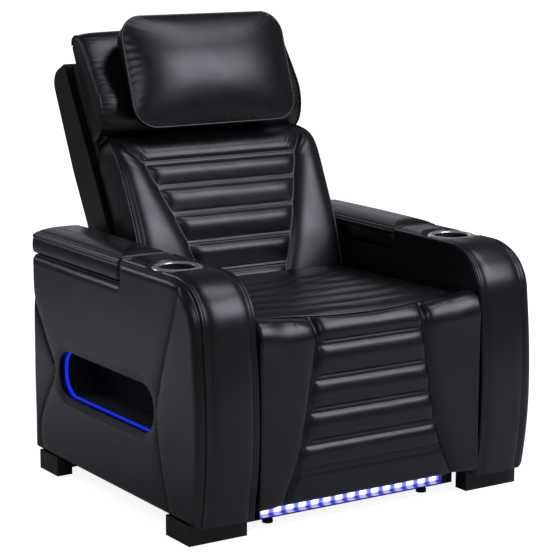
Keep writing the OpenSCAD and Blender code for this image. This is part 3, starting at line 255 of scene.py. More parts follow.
def group_of(name, inputs, outputs):
    """An empty node group with float inputs (name: default) and float outputs (names)."""
    g = bpy.data.node_groups.new(name, "ShaderNodeTree")
    for key, value in inputs.items():
        g.interface.new_socket(key, in_out="INPUT", socket_type="NodeSocketFloat").default_value = value
    for key in outputs:
        g.interface.new_socket(key, in_out="OUTPUT", socket_type="NodeSocketFloat")
    return g, g.nodes.new("NodeGroupInput").outputs, g.nodes.new("NodeGroupOutput").inputs


def leather_group():
    """Smooth faux leather: fine pebble grain, faint creases, and painted shade along the seams and creases,
    where the mesh's seam attribute darkens its colour and makes it a little rougher.
    """
    g, inp, out = group_of("Leather grain", {"Grain size": 900.0, "Crease size": 26.0},
                           ("Mask", "Roughness", "Height"))
    where = node(g, "TexCoord").outputs["Object"]
    cells = node(g, "TexVoronoi", {"Vector": where, "Scale": inp["Grain size"]})
    cells.feature = "SMOOTH_F1"
    slow = node(g, "TexNoise", {"Vector": where, "Scale": inp["Crease size"], "Detail": 4}).outputs["Fac"]
    seam = node(g, "Attribute")
    seam.attribute_name = "seam"
    near = seam.outputs["Fac"]
    rough = calc(g, "ADD", calc(g, "MULTIPLY", slow, 0.14), 0.245)
    feed(g, out, {
        # Mask, the seam attribute: the colour darkens towards it, painted shade in the seams and creases
        "Mask": near,
        "Roughness": calc(g, "ADD", rough, calc(g, "MULTIPLY", near, 0.06), clamp=True),
        "Height": calc(g, "ADD", calc(g, "MULTIPLY", cells.outputs["Distance"], 0.25),
                       calc(g, "MULTIPLY", slow, 0.9)),
    })
    return g


def mottle_group():
    """Light unevenness for plain parts: a mask, a roughness and a height from noise in object coordinates."""
    g, inp, out = group_of("Mottle", {"Scale": 40.0, "Rough low": 0.4, "Rough high": 0.55},
                           ("Mask", "Roughness", "Height"))
    where = node(g, "TexCoord").outputs["Object"]
    noise = node(g, "TexNoise", {"Vector": where, "Scale": inp["Scale"], "Detail": 5}).outputs["Fac"]
    ramp = node(g, "MapRange", {"Value": noise, "From Min": 0.3, "From Max": 0.7,
                                "To Min": inp["Rough low"], "To Max": inp["Rough high"]})
    feed(g, out, {"Mask": noise, "Roughness": ramp.outputs["Result"], "Height": noise})
    return g


def position(g):
    """The three object coordinates inside a group, as links."""
    return node(g, "SeparateXYZ", {0: node(g, "TexCoord").outputs["Object"]}).outputs


def step_node(g, value, low, high):
    """1 below low and 0 above high, with a soft step between, as a link."""
    n = node(g, "MapRange", {"Value": value, "From Min": low, "From Max": high, "To Min": 1.0, "To Max": 0.0})
    n.interpolation_type = "SMOOTHSTEP"
    return n.outputs["Result"]


def lamp_row_group():
    """Where the bar's lamps are: Core is 1 at each lamp's middle, Inside is 1 inside the bar's channel."""
    row_start, pitch, bar_z = 0.264, 0.0352, 0.034
    g, _, out = group_of("Lamp row", {}, ("Core", "Inside"))
    x, y, z = position(g)
    turn = calc(g, "FRACT", calc(g, "MULTIPLY", calc(g, "ADD", x, row_start), 1 / pitch))
    off = calc(g, "ABSOLUTE", calc(g, "SUBTRACT", turn, 0.5))
    deep = step_node(g, calc(g, "MULTIPLY", y, -1.0), 0.4262, 0.4268)
    tall = step_node(g, calc(g, "ABSOLUTE", calc(g, "SUBTRACT", z, bar_z)), 0.0112, 0.0116)
    wide = step_node(g, calc(g, "ABSOLUTE", x), 0.2655, 0.2665)
    feed(g, out, {"Core": step_node(g, off, 0.14, 0.40),
                  "Inside": calc(g, "MULTIPLY", calc(g, "MULTIPLY", deep, tall), wide)})
    return g


def cup_group():
    """Mask is 1 inside the cup holder's well and 0 on its ring, by the distance from the cup's axis."""
    g, _, out = group_of("Cup well", {}, ("Mask", "Roughness", "Metallic"))
    x, y, _ = position(g)
    dx = calc(g, "SUBTRACT", calc(g, "ABSOLUTE", x), CUP_X / 1000)
    dy = calc(g, "ADD", y, (HALF_DEPTH - CUP_Y) / 1000)
    r = calc(g, "SQRT", calc(g, "ADD", calc(g, "MULTIPLY", dx, dx), calc(g, "MULTIPLY", dy, dy)))
    well = step_node(g, r, 0.0434, 0.0437)
    feed(g, out, {"Mask": well, "Roughness": calc(g, "ADD", calc(g, "MULTIPLY", well, 0.3), 0.24),
                  "Metallic": calc(g, "MULTIPLY", calc(g, "SUBTRACT", 1.0, well), 0.75)})
    return g


LEATHER, MOTTLE, LAMP_ROW, CUP = leather_group(), mottle_group(), lamp_row_group(), cup_group()


def painted(name):
    """A new material, its node tree and its Principled node's inputs."""
    m = bpy.data.materials.new(name)
    m.use_nodes = True
    return m, m.node_tree, m.node_tree.nodes["Principled BSDF"].inputs


def grouped(t, group, values=None):
    """The outputs of a group's node in a tree, some of its inputs set."""
    n = t.nodes.new("ShaderNodeGroup")
    n.node_tree = group
    feed(t, n.inputs, values or {})
    return n.outputs


def mixed(t, mask, low, high):
    """A colour that runs from low to high by a mask, as a link. Each is a colour or a link to one."""
    mix = t.nodes.new("ShaderNodeMix")
    mix.data_type = "RGBA"
    feed(t, mix.inputs, {"A": low, "B": high, "Factor": mask})
    return mix.outputs["Result"]


def surface(name, group, colours, bump, reach=0.001, metallic=0.0, values=None):
    """A Principled material whose colour runs between two colours by the group's mask."""
    m, t, p = painted(name)
    n = grouped(t, group, values)
    relief = node(t, "Bump", {"Strength": bump, "Distance": reach, "Height": n["Height"]})
    feed(t, p, {"Base Color": mixed(t, n["Mask"], *colours), "Roughness": n["Roughness"],
                "Metallic": metallic, "Normal": relief.outputs["Normal"]})
    return m


def plain(name, colour, low, high, **more):
    """A hard part's material with slightly uneven colour and roughness."""
    lift = tuple(min(1, c * 1.25 + 0.002) for c in colour)
    return surface(name, MOTTLE, (colour, lift), values={"Rough low": low, "Rough high": high}, **more)


def lamp(name, colour, strength, base=(0.02, 0.03, 0.3)):
    """A lit plastic face: a base colour with a steady glow."""
    m, t, p = painted(name)
    feed(t, p, {"Base Color": base, "Roughness": 0.4, "Emission Color": colour, "Emission Strength": strength})
    return m


def lit_row(name, low, high, base, strength, channel=False):
    """A part of the lit bar whose glow runs from low, between the lamps, to high at each lamp. With channel it
    glows only inside the bar's channel."""
    m, t, p = painted(name)
    row = grouped(t, LAMP_ROW)
    glow = mixed(t, row["Core"], low, high)
    if channel:
        glow = mixed(t, row["Inside"], (0, 0, 0), glow)
    feed(t, p, {"Base Color": base, "Roughness": 0.4, "Emission Color": glow, "Emission Strength": strength})
    return m


def cup_material():
    """A bright ring with a dark plastic well."""
    m, t, p = painted("Cup holder, bright ring and dark well")
    cup = grouped(t, CUP)
    feed(t, p, {"Base Color": mixed(t, cup["Mask"], (0.60, 0.60, 0.62), (0.003, 0.003, 0.0035)),
                "Roughness": cup["Roughness"], "Metallic": cup["Metallic"]})
    return m


MATERIALS = {
    # each leather's second, darker colour is painted shade in its seams and creases, by the seam attribute
    "upholstery": surface("Black faux leather", LEATHER,
                          ((0.0045, 0.0046, 0.0056), (0.003, 0.003, 0.0036)), 0.16, 0.0012),
    "panel_upholstery": surface("Black panel leather", LEATHER,
                                ((0.0060, 0.0061, 0.0070), (0.0035, 0.0035, 0.004)), 0.14, 0.0012),
    "pocket_liner": plain("Pocket lining", (0.0035, 0.0035, 0.005), 0.75, 0.9, bump=0.1),
    "bin_plastic": plain("Storage bin plastic", (0.012, 0.012, 0.013), 0.5, 0.65, bump=0.05),
    "hinge_steel": plain("Hinge steel", (0.30, 0.30, 0.31), 0.3, 0.45, metallic=1.0, bump=0.04),
    "cup_chrome": cup_material(),
    "foot_plastic": plain("Foot plastic", (0.0075, 0.0075, 0.008), 0.5, 0.62, bump=0.06),
    "rail_steel": plain("Rail steel", (0.02, 0.02, 0.021), 0.42, 0.55, bump=0.05),
    "glide_plastic": plain("Glide plastic", (0.006, 0.006, 0.007), 0.4, 0.55, bump=0.05),
    "plate_steel": plain("Side plate steel", (0.03, 0.03, 0.032), 0.4, 0.55, bump=0.05),
    "pin_steel": plain("Pin steel", (0.36, 0.36, 0.37), 0.25, 0.4, metallic=1.0, bump=0.03),
    "cover_cloth": plain("Dust cover cloth", (0.012, 0.012, 0.013), 0.8, 0.95, bump=0.3),
    "bar_plastic": lit_row("Lamp bar plastic", (0.03, 0.04, 0.62), (0.42, 0.44, 1.0), (0.004, 0.004, 0.01), 1.0,
                           channel=True),
    "frame_wood": plain("Frame wood, stained black", (0.012, 0.0105, 0.0095), 0.55, 0.75, bump=0.2),
    "spring_steel": plain("Spring steel", (0.22, 0.22, 0.23), 0.3, 0.45, metallic=1.0, bump=0.03),
    "drive_plastic": plain("Drive plastic", (0.018, 0.018, 0.019), 0.45, 0.6, bump=0.05),
    "rod_steel": plain("Rod steel", (0.45, 0.45, 0.46), 0.2, 0.35, metallic=1.0, bump=0.03),
    "supply_plastic": plain("Supply plastic", (0.01, 0.01, 0.011), 0.5, 0.65, bump=0.05),
    "control_plastic": plain("Control plastic", (0.012, 0.012, 0.013), 0.3, 0.42, bump=0.04),
    "switch_plastic": plain("Switch plastic", (0.05, 0.05, 0.055), 0.3, 0.42, bump=0.04),
    "button_plastic": lamp("Button plastic", (0.05, 0.16, 1.0), 0.6),
    "pocket_lamp": lamp("Pocket lamp strip", (0.010, 0.040, 1.0), 0.75, (0.0, 0.01, 0.2)),
    "bar_lamps": lit_row("Bar lamps", (0.05, 0.055, 0.62), (0.62, 0.63, 1.0), (0.3, 0.3, 0.5), 3.2),
}
SKIN, PANEL = ((MATERIALS[slot], slot) for slot in ("upholstery", "panel_upholstery"))
# seam thread of dark grey: partly its own colour, partly lightened as a painted highlight on the stitch lines
THREAD = plain("Seam thread", (0.055, 0.055, 0.06), 0.35, 0.5, bump=0.05)

for solid in nodes.values():
    own = solid.data.materials[0].name.split(".")[0]
    solid.data.materials.clear()
    solid.data.materials.append(MATERIALS[own])


# ---------------------------------------------------------------- arms

BAND_IN, BAND_OUT, ARM_OUT = 321.5, 460.0, 475.0     # the band's two edges and the arm's outer face
ARM_FOOT, ARM_TOP, BAND_END = 49.0, 608.0, 370.0     # the arm's lowest and highest z, the band's last y
CORNER_Y, CORNER_Z, CORNER_R = 133.8, 490.0, 118.0   # the arm's round front corner
FRONT_Z = 260.0                                      # the height at which the arm reaches furthest forward


def arm_front():
    """The arm's front and top outline from the floor end to the lid, as (y, z) points and outward normals:
    a flat lower arc, a flatter upper arc, a round corner and a level top."""
    step = 3.0
    parts = []
    for r, z0, z1 in ((1000.0, ARM_FOOT, FRONT_Z), (1650.0, FRONT_Z, CORNER_Z)):
        z = np.linspace(z0, z1, int((z1 - z0) / step), endpoint=False)
        y = r - np.sqrt(r * r - (z - FRONT_Z) ** 2)
        parts.append(np.stack([y, z, (y - r) / r, (z - FRONT_Z) / r], -1))
    a = np.linspace(math.pi, math.pi / 2, int(185 / step), endpoint=False)
    out = np.stack([np.cos(a), np.sin(a)], -1)
    parts.append(np.concatenate([[CORNER_Y, CORNER_Z] + CORNER_R * out, out], 1))
    y = np.linspace(CORNER_Y, BAND_END, int(236 / step) + 1)
    parts.append(np.stack([y, np.full_like(y, ARM_TOP), np.zeros_like(y), np.ones_like(y)], -1))
    path = relax(np.concatenate(parts), 40)
    path[:, 2:] = unit(path[:, 2:])
    return path


ARM_FRONT = arm_front()


def arm_band(side, hand):
    """The padded band: across x it has two ribs and two stitched grooves at each edge and a soft crown between,
    swept along the arm's outline. A round hole is left for the cup holder, under the ring's flange."""
    line, normal = ARM_FRONT[:, :2], ARM_FRONT[:, 2:]
    groove, groove2 = 7.2, 14.4
    hole, flat_to, crown_from, under_ring = 52, 61, 76, 607.6
    edge = np.array([-2.5, -1.2, 0, 0.6, 1.4, 2.4, 3.6, 4.8, 5.8, 6.6, 7.2, 7.8, 8.6, 9.8, 11.2, 12.6,
                     13.6, 14.4, 15.2, 16.4, 18.5, 22])
    width = BAND_OUT - BAND_IN
    e = np.concatenate([edge, np.linspace(26, width - 26, 26), width - edge[::-1]])
    near = np.minimum(e, width - e)
    rib = 4.2 * np.sqrt(np.clip(1 - ((near - 3.8) / 4.6) ** 2, 0, 1))
    rib2 = 1.6 + 2.4 * np.sqrt(np.clip(1 - ((near - 11) / 3.9) ** 2, 0, 1))
    face = 1.8 + 5.5 * (1 - np.exp(-(near - groove2) / 9.0)) + 1.5 * (1 - (2 * e / width - 1) ** 2)
    lift = np.select([near < 0.1, near < groove, near < groove2], [-3.0, np.maximum(rib, 1.4), rib2], face)
    x = BAND_IN + np.clip(e, -1.0, width + 1.0)
    run = run_of(line)[:, None]
    h = lift + 0.6 * ripple(run, x * 2, 3.0 + side) * smooth(16, 30, near)
    p = np.empty((*h.shape, 3))
    p[..., 0] = side * x
    p[..., 1:] = line[:, None] + normal[:, None] * h[..., None]
    seam = np.broadcast_to(np.maximum(crease(near - groove, 1.2), crease(near - groove2, 1.2)), h.shape)
    faces = quads_of(*h.shape)
    flat = p.reshape(-1, 3)
    off = flat[:, :2] - [side * CUP_X, CUP_Y]
    away = np.hypot(off[:, 0], off[:, 1])
    on_top = flat[:, 2] > 580
    flat[on_top, 2] = under_ring + (flat[on_top, 2] - under_ring) * smooth(flat_to, crown_from, away[on_top])
    inner = (away < hole) & on_top
    faces = faces[~inner[faces].all(1)]
    pull = inner & np.isin(np.arange(len(flat)), faces)
    flat[pull, :2] = [side * CUP_X, CUP_Y] + off[pull] / away[pull, None] * hole
    obj = piece(hand + "_band_cover", flat, faces, "chair", PANEL, seam=seam,
                inside=(side * CUP_X, 250.0, 300.0))
    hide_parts(hand + "_arm_band")
    seams = [np.column_stack([np.full(len(line), side * (BAND_IN + at)), line + normal * 1.9])
             for at in (groove, groove2, width - groove, width - groove2)]
    stitches(hand + "_band_stitches", seams, "chair", "panel_upholstery")


REAR_SEAM = relax(even([(828, 462), (819, 444), (795, 406), (757, 353), (720, 305), (702, 286), (702, 276),
                        (733, 233), (770, 183), (794, 130), (800, 96), (790, 61), (780, 49)], 60), 12)
FRONT_SEAM = relax(even([(96, 590), (105, 556), (126, 491), (159, 414), (188, 328), (195, 301), (196, 258),
                         (187, 197), (164, 117), (141, 49)], 60), 12)


def outer_cover(side, hand):
    """The padded outer panel: rings run from the pocket's oval rim out to the arm's outline, and back behind.
    Its face swells between the seams, the rim and the edge, each by the distance to the nearest."""
    r, y0, y1, z0, z1 = 55.0, 208.0, 687.0, 221.0, 339.0
    rear, lid_z = 828.0, 555.0

    def arc(cy, cz, a0, a1):
        """Points of a corner of the oval, between two angles in degrees."""
        a = np.radians(np.linspace(a0, a1, 40))
        return np.stack([cy + r * np.cos(a), cz + r * np.sin(a)], -1)

    oval = [np.concatenate([arc(y0 + r, z0 + r, 225, 180), arc(y0 + r, z1 - r, 180, 135)]),
            np.concatenate([arc(y0 + r, z1 - r, 135, 90), [[345.0, z1]]]),
            np.array([[345.0, z1], [374.0, z1]]),
            np.concatenate([[[374.0, z1]], arc(y1 - r, z1 - r, 90, 45)]),
            np.concatenate([arc(y1 - r, z1 - r, 45, 0), arc(y1 - r, z0 + r, 0, -45)]),
            np.concatenate([arc(y1 - r, z0 + r, -45, -90), arc(y0 + r, z0 + r, 270, 225)])]
    front = ARM_FRONT[:, :2]
    corner = int(np.argmin(np.hypot(front[:, 0] - 50.4, front[:, 1] - 573.4)))
    outline = [front[:corner + 1], front[corner:], np.array([[BAND_END, ARM_TOP], [BAND_END, lid_z]]),
               np.array([[BAND_END, lid_z], [rear, lid_z]]), np.array([[rear, lid_z], [rear, ARM_FOOT]]),
               np.array([[rear, ARM_FOOT], [22.5, ARM_FOOT]])]
    counts = [150, 90, 16, 130, 130, 200]
    rim = np.concatenate([even(p, n, False) for p, n in zip(oval, counts)])
    out = np.concatenate([even(p, n, False) for p, n in zip(outline, counts)])
    way = out - rim
    long = np.hypot(*way.T)[:, None]
    fixed = np.array([0, 0.6, 1.5, 3, 5, 8, 12, 17, 23, 30])
    edge = np.array([26, 20, 15, 11, 8, 5.5, 3.5, 2, 0.9, 0.2])
    middle = np.linspace(0, 1, 60)[None, 1:-1]
    d = np.concatenate([np.broadcast_to(fixed, (len(rim), len(fixed))), 30 + middle * (long - 56),
                        long - edge[None]], 1)
    w = np.clip(d / long, 0, 1)
    yz = rim[:, None] + w[..., None] * way[:, None]
    y, z = yz[..., 0], yz[..., 1]
    to_edge = to_line(y, z, np.concatenate(outline))
    to_rim = to_line(y, z, np.concatenate([np.concatenate(oval), rim[:1]]))
    seams = np.minimum(to_line(y, z, REAR_SEAM), to_line(y, z, FRONT_SEAM))
    roll = 11 - np.sqrt(np.clip(121 - np.clip(11 - to_edge, 0, 11) ** 2, 0, None))
    lip = 0.3 * (9 - np.sqrt(np.clip(81 - np.clip(9 - to_rim, 0, 9) ** 2, 0, None)))
    swell = 5.0 * (1 - crease(seams, 13)) * smooth(0, 25, to_rim) + 3.0 * (1 - np.exp(-to_rim / 30))
    swell += 0.5 * ripple(y, z, 1.3 + side) - 1.8 * crease(to_edge - 13, 1.6)
    x = ARM_OUT - 2 + swell * smooth(0, 16, to_edge) + 5.0 * np.exp(-to_rim / 18)
    x -= roll + lip + 2.4 * crease(seams, 2.0)
    seam = np.maximum(crease(seams, 1.6), crease(to_edge - 13, 1.4))
    loop = np.stack([side * x, y, z], -1)
    back = loop[:, [-1, 0]].copy()
    back[..., 0] = side * (BAND_OUT + 0.5)
    points = np.concatenate([loop, back], 1)
    seam = np.concatenate([seam, np.zeros(back.shape[:2])], 1)
    faces = quads_of(*points.shape[:2], True, True)
    obj = piece(hand + "_outer_cover", points.reshape(-1, 3), faces, "chair", PANEL, seam=seam)
    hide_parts(hand + "_outer_panel")


def rounded(x0, x1, y0, y1, r, inset, per_corner=9, per_side=34):
    """A rectangle with round corners, moved in by inset, with the same count of points whatever the inset."""
    q = max(r - inset, 1.5)
    xa, xb, ya, yb = x0 + inset + q, x1 - inset - q, y0 + inset + q, y1 - inset - q
    out = []
    for (cx, cy), a0, (nx, ny) in (((xb, yb), 0, (xa, yb)), ((xa, yb), 90, (xa, ya)),
                                   ((xa, ya), 180, (xb, ya)), ((xb, ya), 270, (xb, yb))):
        a = np.radians(np.linspace(a0, a0 + 90, per_corner))
        out.append(np.stack([cx + q * np.cos(a), cy + q * np.sin(a)], -1))
        k = np.linspace(0, 1, per_side + 2)[1:-1, None]
        off = q * np.array([math.cos(math.radians(a0 + 90)), math.sin(math.radians(a0 + 90))])
        out.append((np.array([cx, cy]) + off) * (1 - k) + (np.array([nx, ny]) + off) * k)
    return np.concatenate(out)


def lid(side, hand):
    """The padded lid: rounded rectangles stacked from the hollow underside, round the skirt, over the double
    welt and up to the crown, which is higher in the middle of its width."""
    x0, x1, y0, y1, top = 319.5, 474.5, 372.5, 839.5, 621.4
    centre, welt_z = np.array([399.0, 606.0]), 598.5
    rows = [(20, 592), (17.5, 590), (17, 588), (17, 572), (16.6, 561), (14, 558.3), (9, 558.2), (5.4, 559.6),
            (2.8, 562.4), (1.0, 566.5), (0.2, 571), (0, 577), (0.2, 585), (0.8, 591), (1.6, 595.2),
            (2.4, 597.2), (3.0, 597.8), (1.6, 599.2), (0.8, 601.4), (1.0, 604.0), (2.4, 606.4), (4.2, 607.2),
            (5.2, 606.8), (6.0, 606.2), (7.0, 607.8), (8.8, 610.2), (11, 611.8), (13.2, 612.4), (14.6, 612.0),
            (15.4, 611.4), (16.6, 613.0), (19, 614.8), (23, 616.6), (28, 618.2), (34, 619.4), (42, 620.6),
            (52, top)]

    def crown(p):
        """The crown's lift at points: up to 5 across the lid and up to 2 along it, a parabola each way."""
        return (1 - ((p[:, :2] - centre) / [76, 234]) ** 2) * [5, 2]

    def row(inset, z):
        """The rounded rectangle that lies inset from the lid's edge, at z, with the crown above the welt."""
        p = rounded(x0, x1, y0, y1, 16, inset)
        lift = crown(p) * [smooth(2, 60, inset), smooth(4, 40, inset)] * (z > welt_z)
        return np.column_stack([p, z + lift.sum(1)])

    rings = np.stack([row(inset, z) for inset, z in rows])
    seam = [max(crease(inset - 3, 1.0) * (z < welt_z), crease(inset - 6, 0.9) * (z > 604.8),
                crease(inset - 15.4, 0.9) * (z > welt_z)) for inset, z in rows]
    closing_top, closing_low = [], []
    for k in np.linspace(0.93, 0.04, 22):
        high, low = rings[-1].copy(), rings[0].copy()
        for r in (high, low):
            r[:, :2] = centre + (r[:, :2] - centre) * k
        high[:, 2] = top + crown(high).sum(1) + 0.5 * ripple(high[:, 0] * 2, high[:, 1], 5 + side)
        closing_top.append(high)
        closing_low.append(low)
    rings = np.concatenate([closing_low[::-1], rings, closing_top])
    seam = np.repeat(np.concatenate([np.zeros(22), seam, np.zeros(22)])[:, None], rings.shape[1], 1)
    rings[..., 0] *= side
    obj = loft(hand + "_lid_cover", rings, hand + "_lid", SKIN, seam)
    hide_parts(hand + "_lid")
    lines = [row(inset, z) * [side, 1, 1] for inset, z in ((6.0, 606.8), (15.4, 612.0))]
    stitches(hand + "_lid_stitches", [np.concatenate([p, p[:1]]) for p in lines], hand + "_lid", "upholstery")


for side, hand in SIDES:
    arm_band(side, hand)
    outer_cover(side, hand)
    lid(side, hand)


# ---------------------------------------------------------------- cushions

SEAT_HALF = 302                        # half the seat cushion's width
ROLL_Y, ROLL_Z, ROLL_R = 65, 450, 50   # the seat's front roll: its axis and radius


def welt_y(x):
    """The seat's front welt from above: furthest forward in the middle, curving back to both sides."""
    return 42 + 54 * np.clip(np.abs(x) / SEAT_HALF, 0, 1.04) ** 2.5


def roll_z(y, r):
    """Height of the seat's front roll, a quarter circle of radius r that runs into a level top."""
    return ROLL_Z + np.sqrt(np.clip(r * r - np.clip(ROLL_Y - np.asarray(y, float), 0, r) ** 2, 0, None))


def side_drop(x, half, r):
    """How far a cushion's skin sinks near its sides, a quarter circle of radius r."""
    a = np.clip(np.abs(x) - (half - r), 0, r)
    return r - np.sqrt(r * r - a * a)


def columns(half, count):
    """Places across x, closer together towards both sides."""
    inner = np.linspace(-(half - 24), half - 24, count)
    last = half - 24 + 24 * np.sin(np.linspace(0, math.pi / 2, 13)[1:])
    return np.concatenate([-last[::-1], inner, last])


def channel_gap(q, channels, half_gap):
    """Distance to the nearest of a row of double seams, and whether the place lies on the strip between two."""
    off = np.abs(np.asarray(q, float)[..., None] - channels)
    return np.abs(off - half_gap).min(-1), (off < half_gap).any(-1)


def section(x, loop):
    """A ring of points at one x from its (y, z) loop."""
    return np.concatenate([np.full((len(loop), 1), x), loop], 1)


SEAT_CHANNELS = (80, 160, 238, 316, 394)


def seat_top():
    """The seat cushion: closed side profiles across x. Cross channels follow the front welt's curve and fade
    out at the sides, and the front end goes down inside the footrest pad's roll."""
    low = [[552, 470], [552, 430], [552, 392], [547, 386], [400, 386], [250, 386], [110, 386], [103, 390],
           [103, 420], [100, 436], [92, 443], [60, 443], [30, 443], [24, 446]]
    rings, seams = [], []
    for x in columns(SEAT_HALF, 150):
        yw = float(welt_y(x))
        out = abs(x) / SEAT_HALF
        q = np.concatenate([np.linspace(0, 6, 6, endpoint=False), np.linspace(6, 540 - yw, 210)])
        y = yw + 3 + q
        d = np.min([np.abs(q - c * (1 - 0.08 * out ** 2) - 2.5 * math.sin(x / 61 + c))
                    for c in SEAT_CHANNELS], 0)
        across = 1 - smooth(0.72, 0.97, out)
        puff = 6.5 * (1 - (1 - np.clip(d / 38, 0, 1)) ** 2) + 1.5 * (1 - np.exp(-d / 4))
        puff = puff * across + 5.0 * (1 - across)
        crown = 4.5 * (1 - out ** 2) * smooth(0, 40, q)
        top = roll_z(y, ROLL_R) - 2.0 + crown - 9 * smooth(0, 470, q) + puff * (1 - np.exp(-q / 13))
        top = top - side_drop(x, SEAT_HALF, 24) + 1.2 * ripple(y, x * 1.3, 2.2) * smooth(0, 30, q)
        turn = math.acos(np.clip((ROLL_Y - min(yw, ROLL_Y)) / ROLL_R, 0, 1))
        a = math.pi - np.linspace(0, turn, 14)
        roll = np.stack([ROLL_Y + 43 * np.cos(a), ROLL_Z + 42 * np.sin(a)], -1)
        if yw < ROLL_Y:
            nose = [[ROLL_Y - 45 * math.cos(turn) + 2,
                     ROLL_Z + 44.5 * math.sin(turn) - 0.3 * side_drop(x, SEAT_HALF, 24)]]
        else:
            nose = [[yw - 1, 492.5 - 0.5 * side_drop(x, SEAT_HALF, 24)]]
        loop = np.concatenate([np.stack([y, top], -1), low, roll, nose])
        rings.append(section(x, loop))
        s = np.zeros(len(loop))
        s[:len(q)] = np.maximum(crease(d, 1.6) * across, crease(q, 2.5))
        seams.append(s)
    obj = loft("seat_top", np.stack(rings), "chair", SKIN, np.stack(seams))
    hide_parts("seat_cushion")


def pad_seam_x(z):
    """Half width of the footrest pad's middle panel at a height."""
    return np.interp(z, [60, 85, 146, 206, 282, 358, 440, 494, 520],
                     [250, 238, 211, 192, 177, 166, 152, 155, 156])


PAD_CHANNELS = (440.0, 358.0, 282.0, 206.0, 146.0)
PAD_HALF = 319.0


def front_pad():
    """The footrest pad with its skin over the seat's roll: closed side profiles across x. Outward of the base
    profile the middle panel swells between double cross seams, and the bolsters swell beside it."""
    arc_n, face_n, face_y, foot_y, foot_z, foot_r = 40, 210, 15.0, 31, 81, 16
    low = [[50, 65], [72, 65], [78, 68], [79, 78], [79, 200], [79, 320], [79, 410], [78, 437], [74, 441],
           [50, 441], [26, 441.5], [20.5, 443]]
    rings, seams = [], []
    for x in columns(PAD_HALF, 190):
        yw = float(welt_y(x))
        a0 = math.acos(np.clip((ROLL_Y - min(yw, ROLL_Y)) / ROLL_R, 0, 1))
        level = np.linspace(yw, ROLL_Y, 12, endpoint=False) if yw > ROLL_Y else np.zeros(0)
        n = len(level)
        a = np.linspace(a0 if yw <= ROLL_Y else math.pi / 2, 0, arc_n + 12 - n)
        zf = np.linspace(449, 82, face_n)
        b = np.linspace(0, math.pi / 2, 9)[1:]
        y = np.concatenate([level, ROLL_Y - ROLL_R * np.cos(a), np.full(face_n, face_y),
                            foot_y - foot_r * np.cos(b)])
        z = np.concatenate([np.full(n, 500.0), ROLL_Z + ROLL_R * np.sin(a), zf, foot_z - foot_r * np.sin(b)])
        ny = np.concatenate([np.zeros(n), -np.cos(a), np.full(face_n, -1.0), -np.cos(b)])
        nz = np.concatenate([np.ones(n), np.sin(a), np.zeros(face_n), -np.sin(b)])
        q = np.concatenate([ROLL_Z + 78.5 + (level - ROLL_Y), ROLL_Z + ROLL_R * a, zf, foot_z - foot_r * b])
        below = q[0] - q
        beside = np.abs(x) - pad_seam_x(q)
        d, strip = channel_gap(q, PAD_CHANNELS, 5.2)
        faint = np.interp(q, [120, 146, 206], [0.35, 0.45, 1.0])
        arch = 7.0 * (1 - (1 - np.clip(d / 34, 0, 1)) ** 2) + 4.5 * (1 - np.exp(-d / 6))
        panel = arch * (1 - 0.5 * strip) * faint + 8.0 * (1 - faint)
        panel = panel * (1 - np.exp(-np.clip(-beside, 0, None) / 9))
        up = smooth(5, max(44.0, float(q[0]) - 486), below)
        bolster = 15.0 * (1 - np.exp(-np.clip(beside, 0, None) / 15)) * (0.1 + 0.9 * up)
        h = np.where(beside > 0, bolster, panel)
        open_seam = smooth(2, 20, below)
        gather = np.exp(-np.clip(below - 8, 0, None) / 14) * smooth(4, 20, beside)
        h = h * open_seam - 1.4 * gather * (0.5 + 0.5 * np.sin(x * 0.55 + 2.0 * np.sin(x * 0.07)))
        h = h + 6.5 * smooth(235, 300, abs(x)) * np.exp(-((q - 486) / 30) ** 2)
        h = h - (3.5 + 4.5 * smooth(330, 480, q)) * crease(beside, 3.4 + 2.0 * smooth(380, 480, q)) * open_seam
        h = h + 0.8 * ripple(x * 1.2, q, 4.4) * open_seam
        h = h * smooth(62, 80, q)
        sink = side_drop(x, PAD_HALF, 9)
        thick = np.where(q > 452, 4.0, 40.0)
        h = h * (1 - sink / 9) - np.minimum(sink, thick - 1)
        c = np.linspace(math.pi, math.pi / 2, 14)
        if yw < ROLL_Y:
            c = c[:1] - np.linspace(0, a0, 14)
            back = [[ROLL_Y - r * math.cos(a0), ROLL_Z + r * math.sin(a0)] for r in (46.5, 48)]
        else:
            back = [[yw + 0.4, 495.2], [yw + 0.6, 497.0]]
        inner = np.stack([ROLL_Y + 45 * np.cos(c), ROLL_Z + 45 * np.sin(c)], -1)
        loop = np.concatenate([np.stack([y + ny * h, z + nz * h], -1), low, inner, back])
        rings.append(section(x, loop))
        s = np.zeros(len(loop))
        s[:len(q)] = np.max([crease(beside, 2.2) * open_seam, crease(d, 1.8) * (beside < 0) * faint,
                             crease(below, 2.5)], 0)
        seams.append(s)
    obj = loft("front_pad", np.stack(rings), None, SKIN, np.stack(seams))
    to_row((0, 45, 497))
    to_row((0, 38, 441))
    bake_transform(obj)
    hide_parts("footrest_cushion")
    x = np.linspace(-312, 312, 240)
    y = welt_y(x)
    line = np.stack([x, y + 0.5, roll_z(y, 50.5) - side_drop(x, PAD_HALF, 15) * 0.8], -1)
    tube("seat_welt", line, 3.2, "chair", SKIN)


seat_top()
front_pad()


LUMBAR_TOP, LUMBAR_REAR = 438, 95.5


def lumbar_table():
    """Side profile of the lumbar cushion's front edge, eased: a slow swell, rounded in at the top."""
    s = np.linspace(0, LUMBAR_TOP, LUMBAR_TOP + 1)
    t = np.interp(s, [0, 30, 68, 100, 130, 160, 184, 240, 300, 330, 357, 375, 392, 407, 420, 430, 436, 438],
                  [14, 7, 0, -6, -10, -11.5, -12, -11, -10, -8, -4, 3, 12, 25, 38, 55, 68, 80])
    relax(t, 30)
    relax(t[:380], 370)
    return s, t


LUMBAR_TABLE = lumbar_table()


def lumbar_front(s):
    """Depth of the lumbar cushion's front edge at a height."""
    return np.interp(s, *LUMBAR_TABLE)


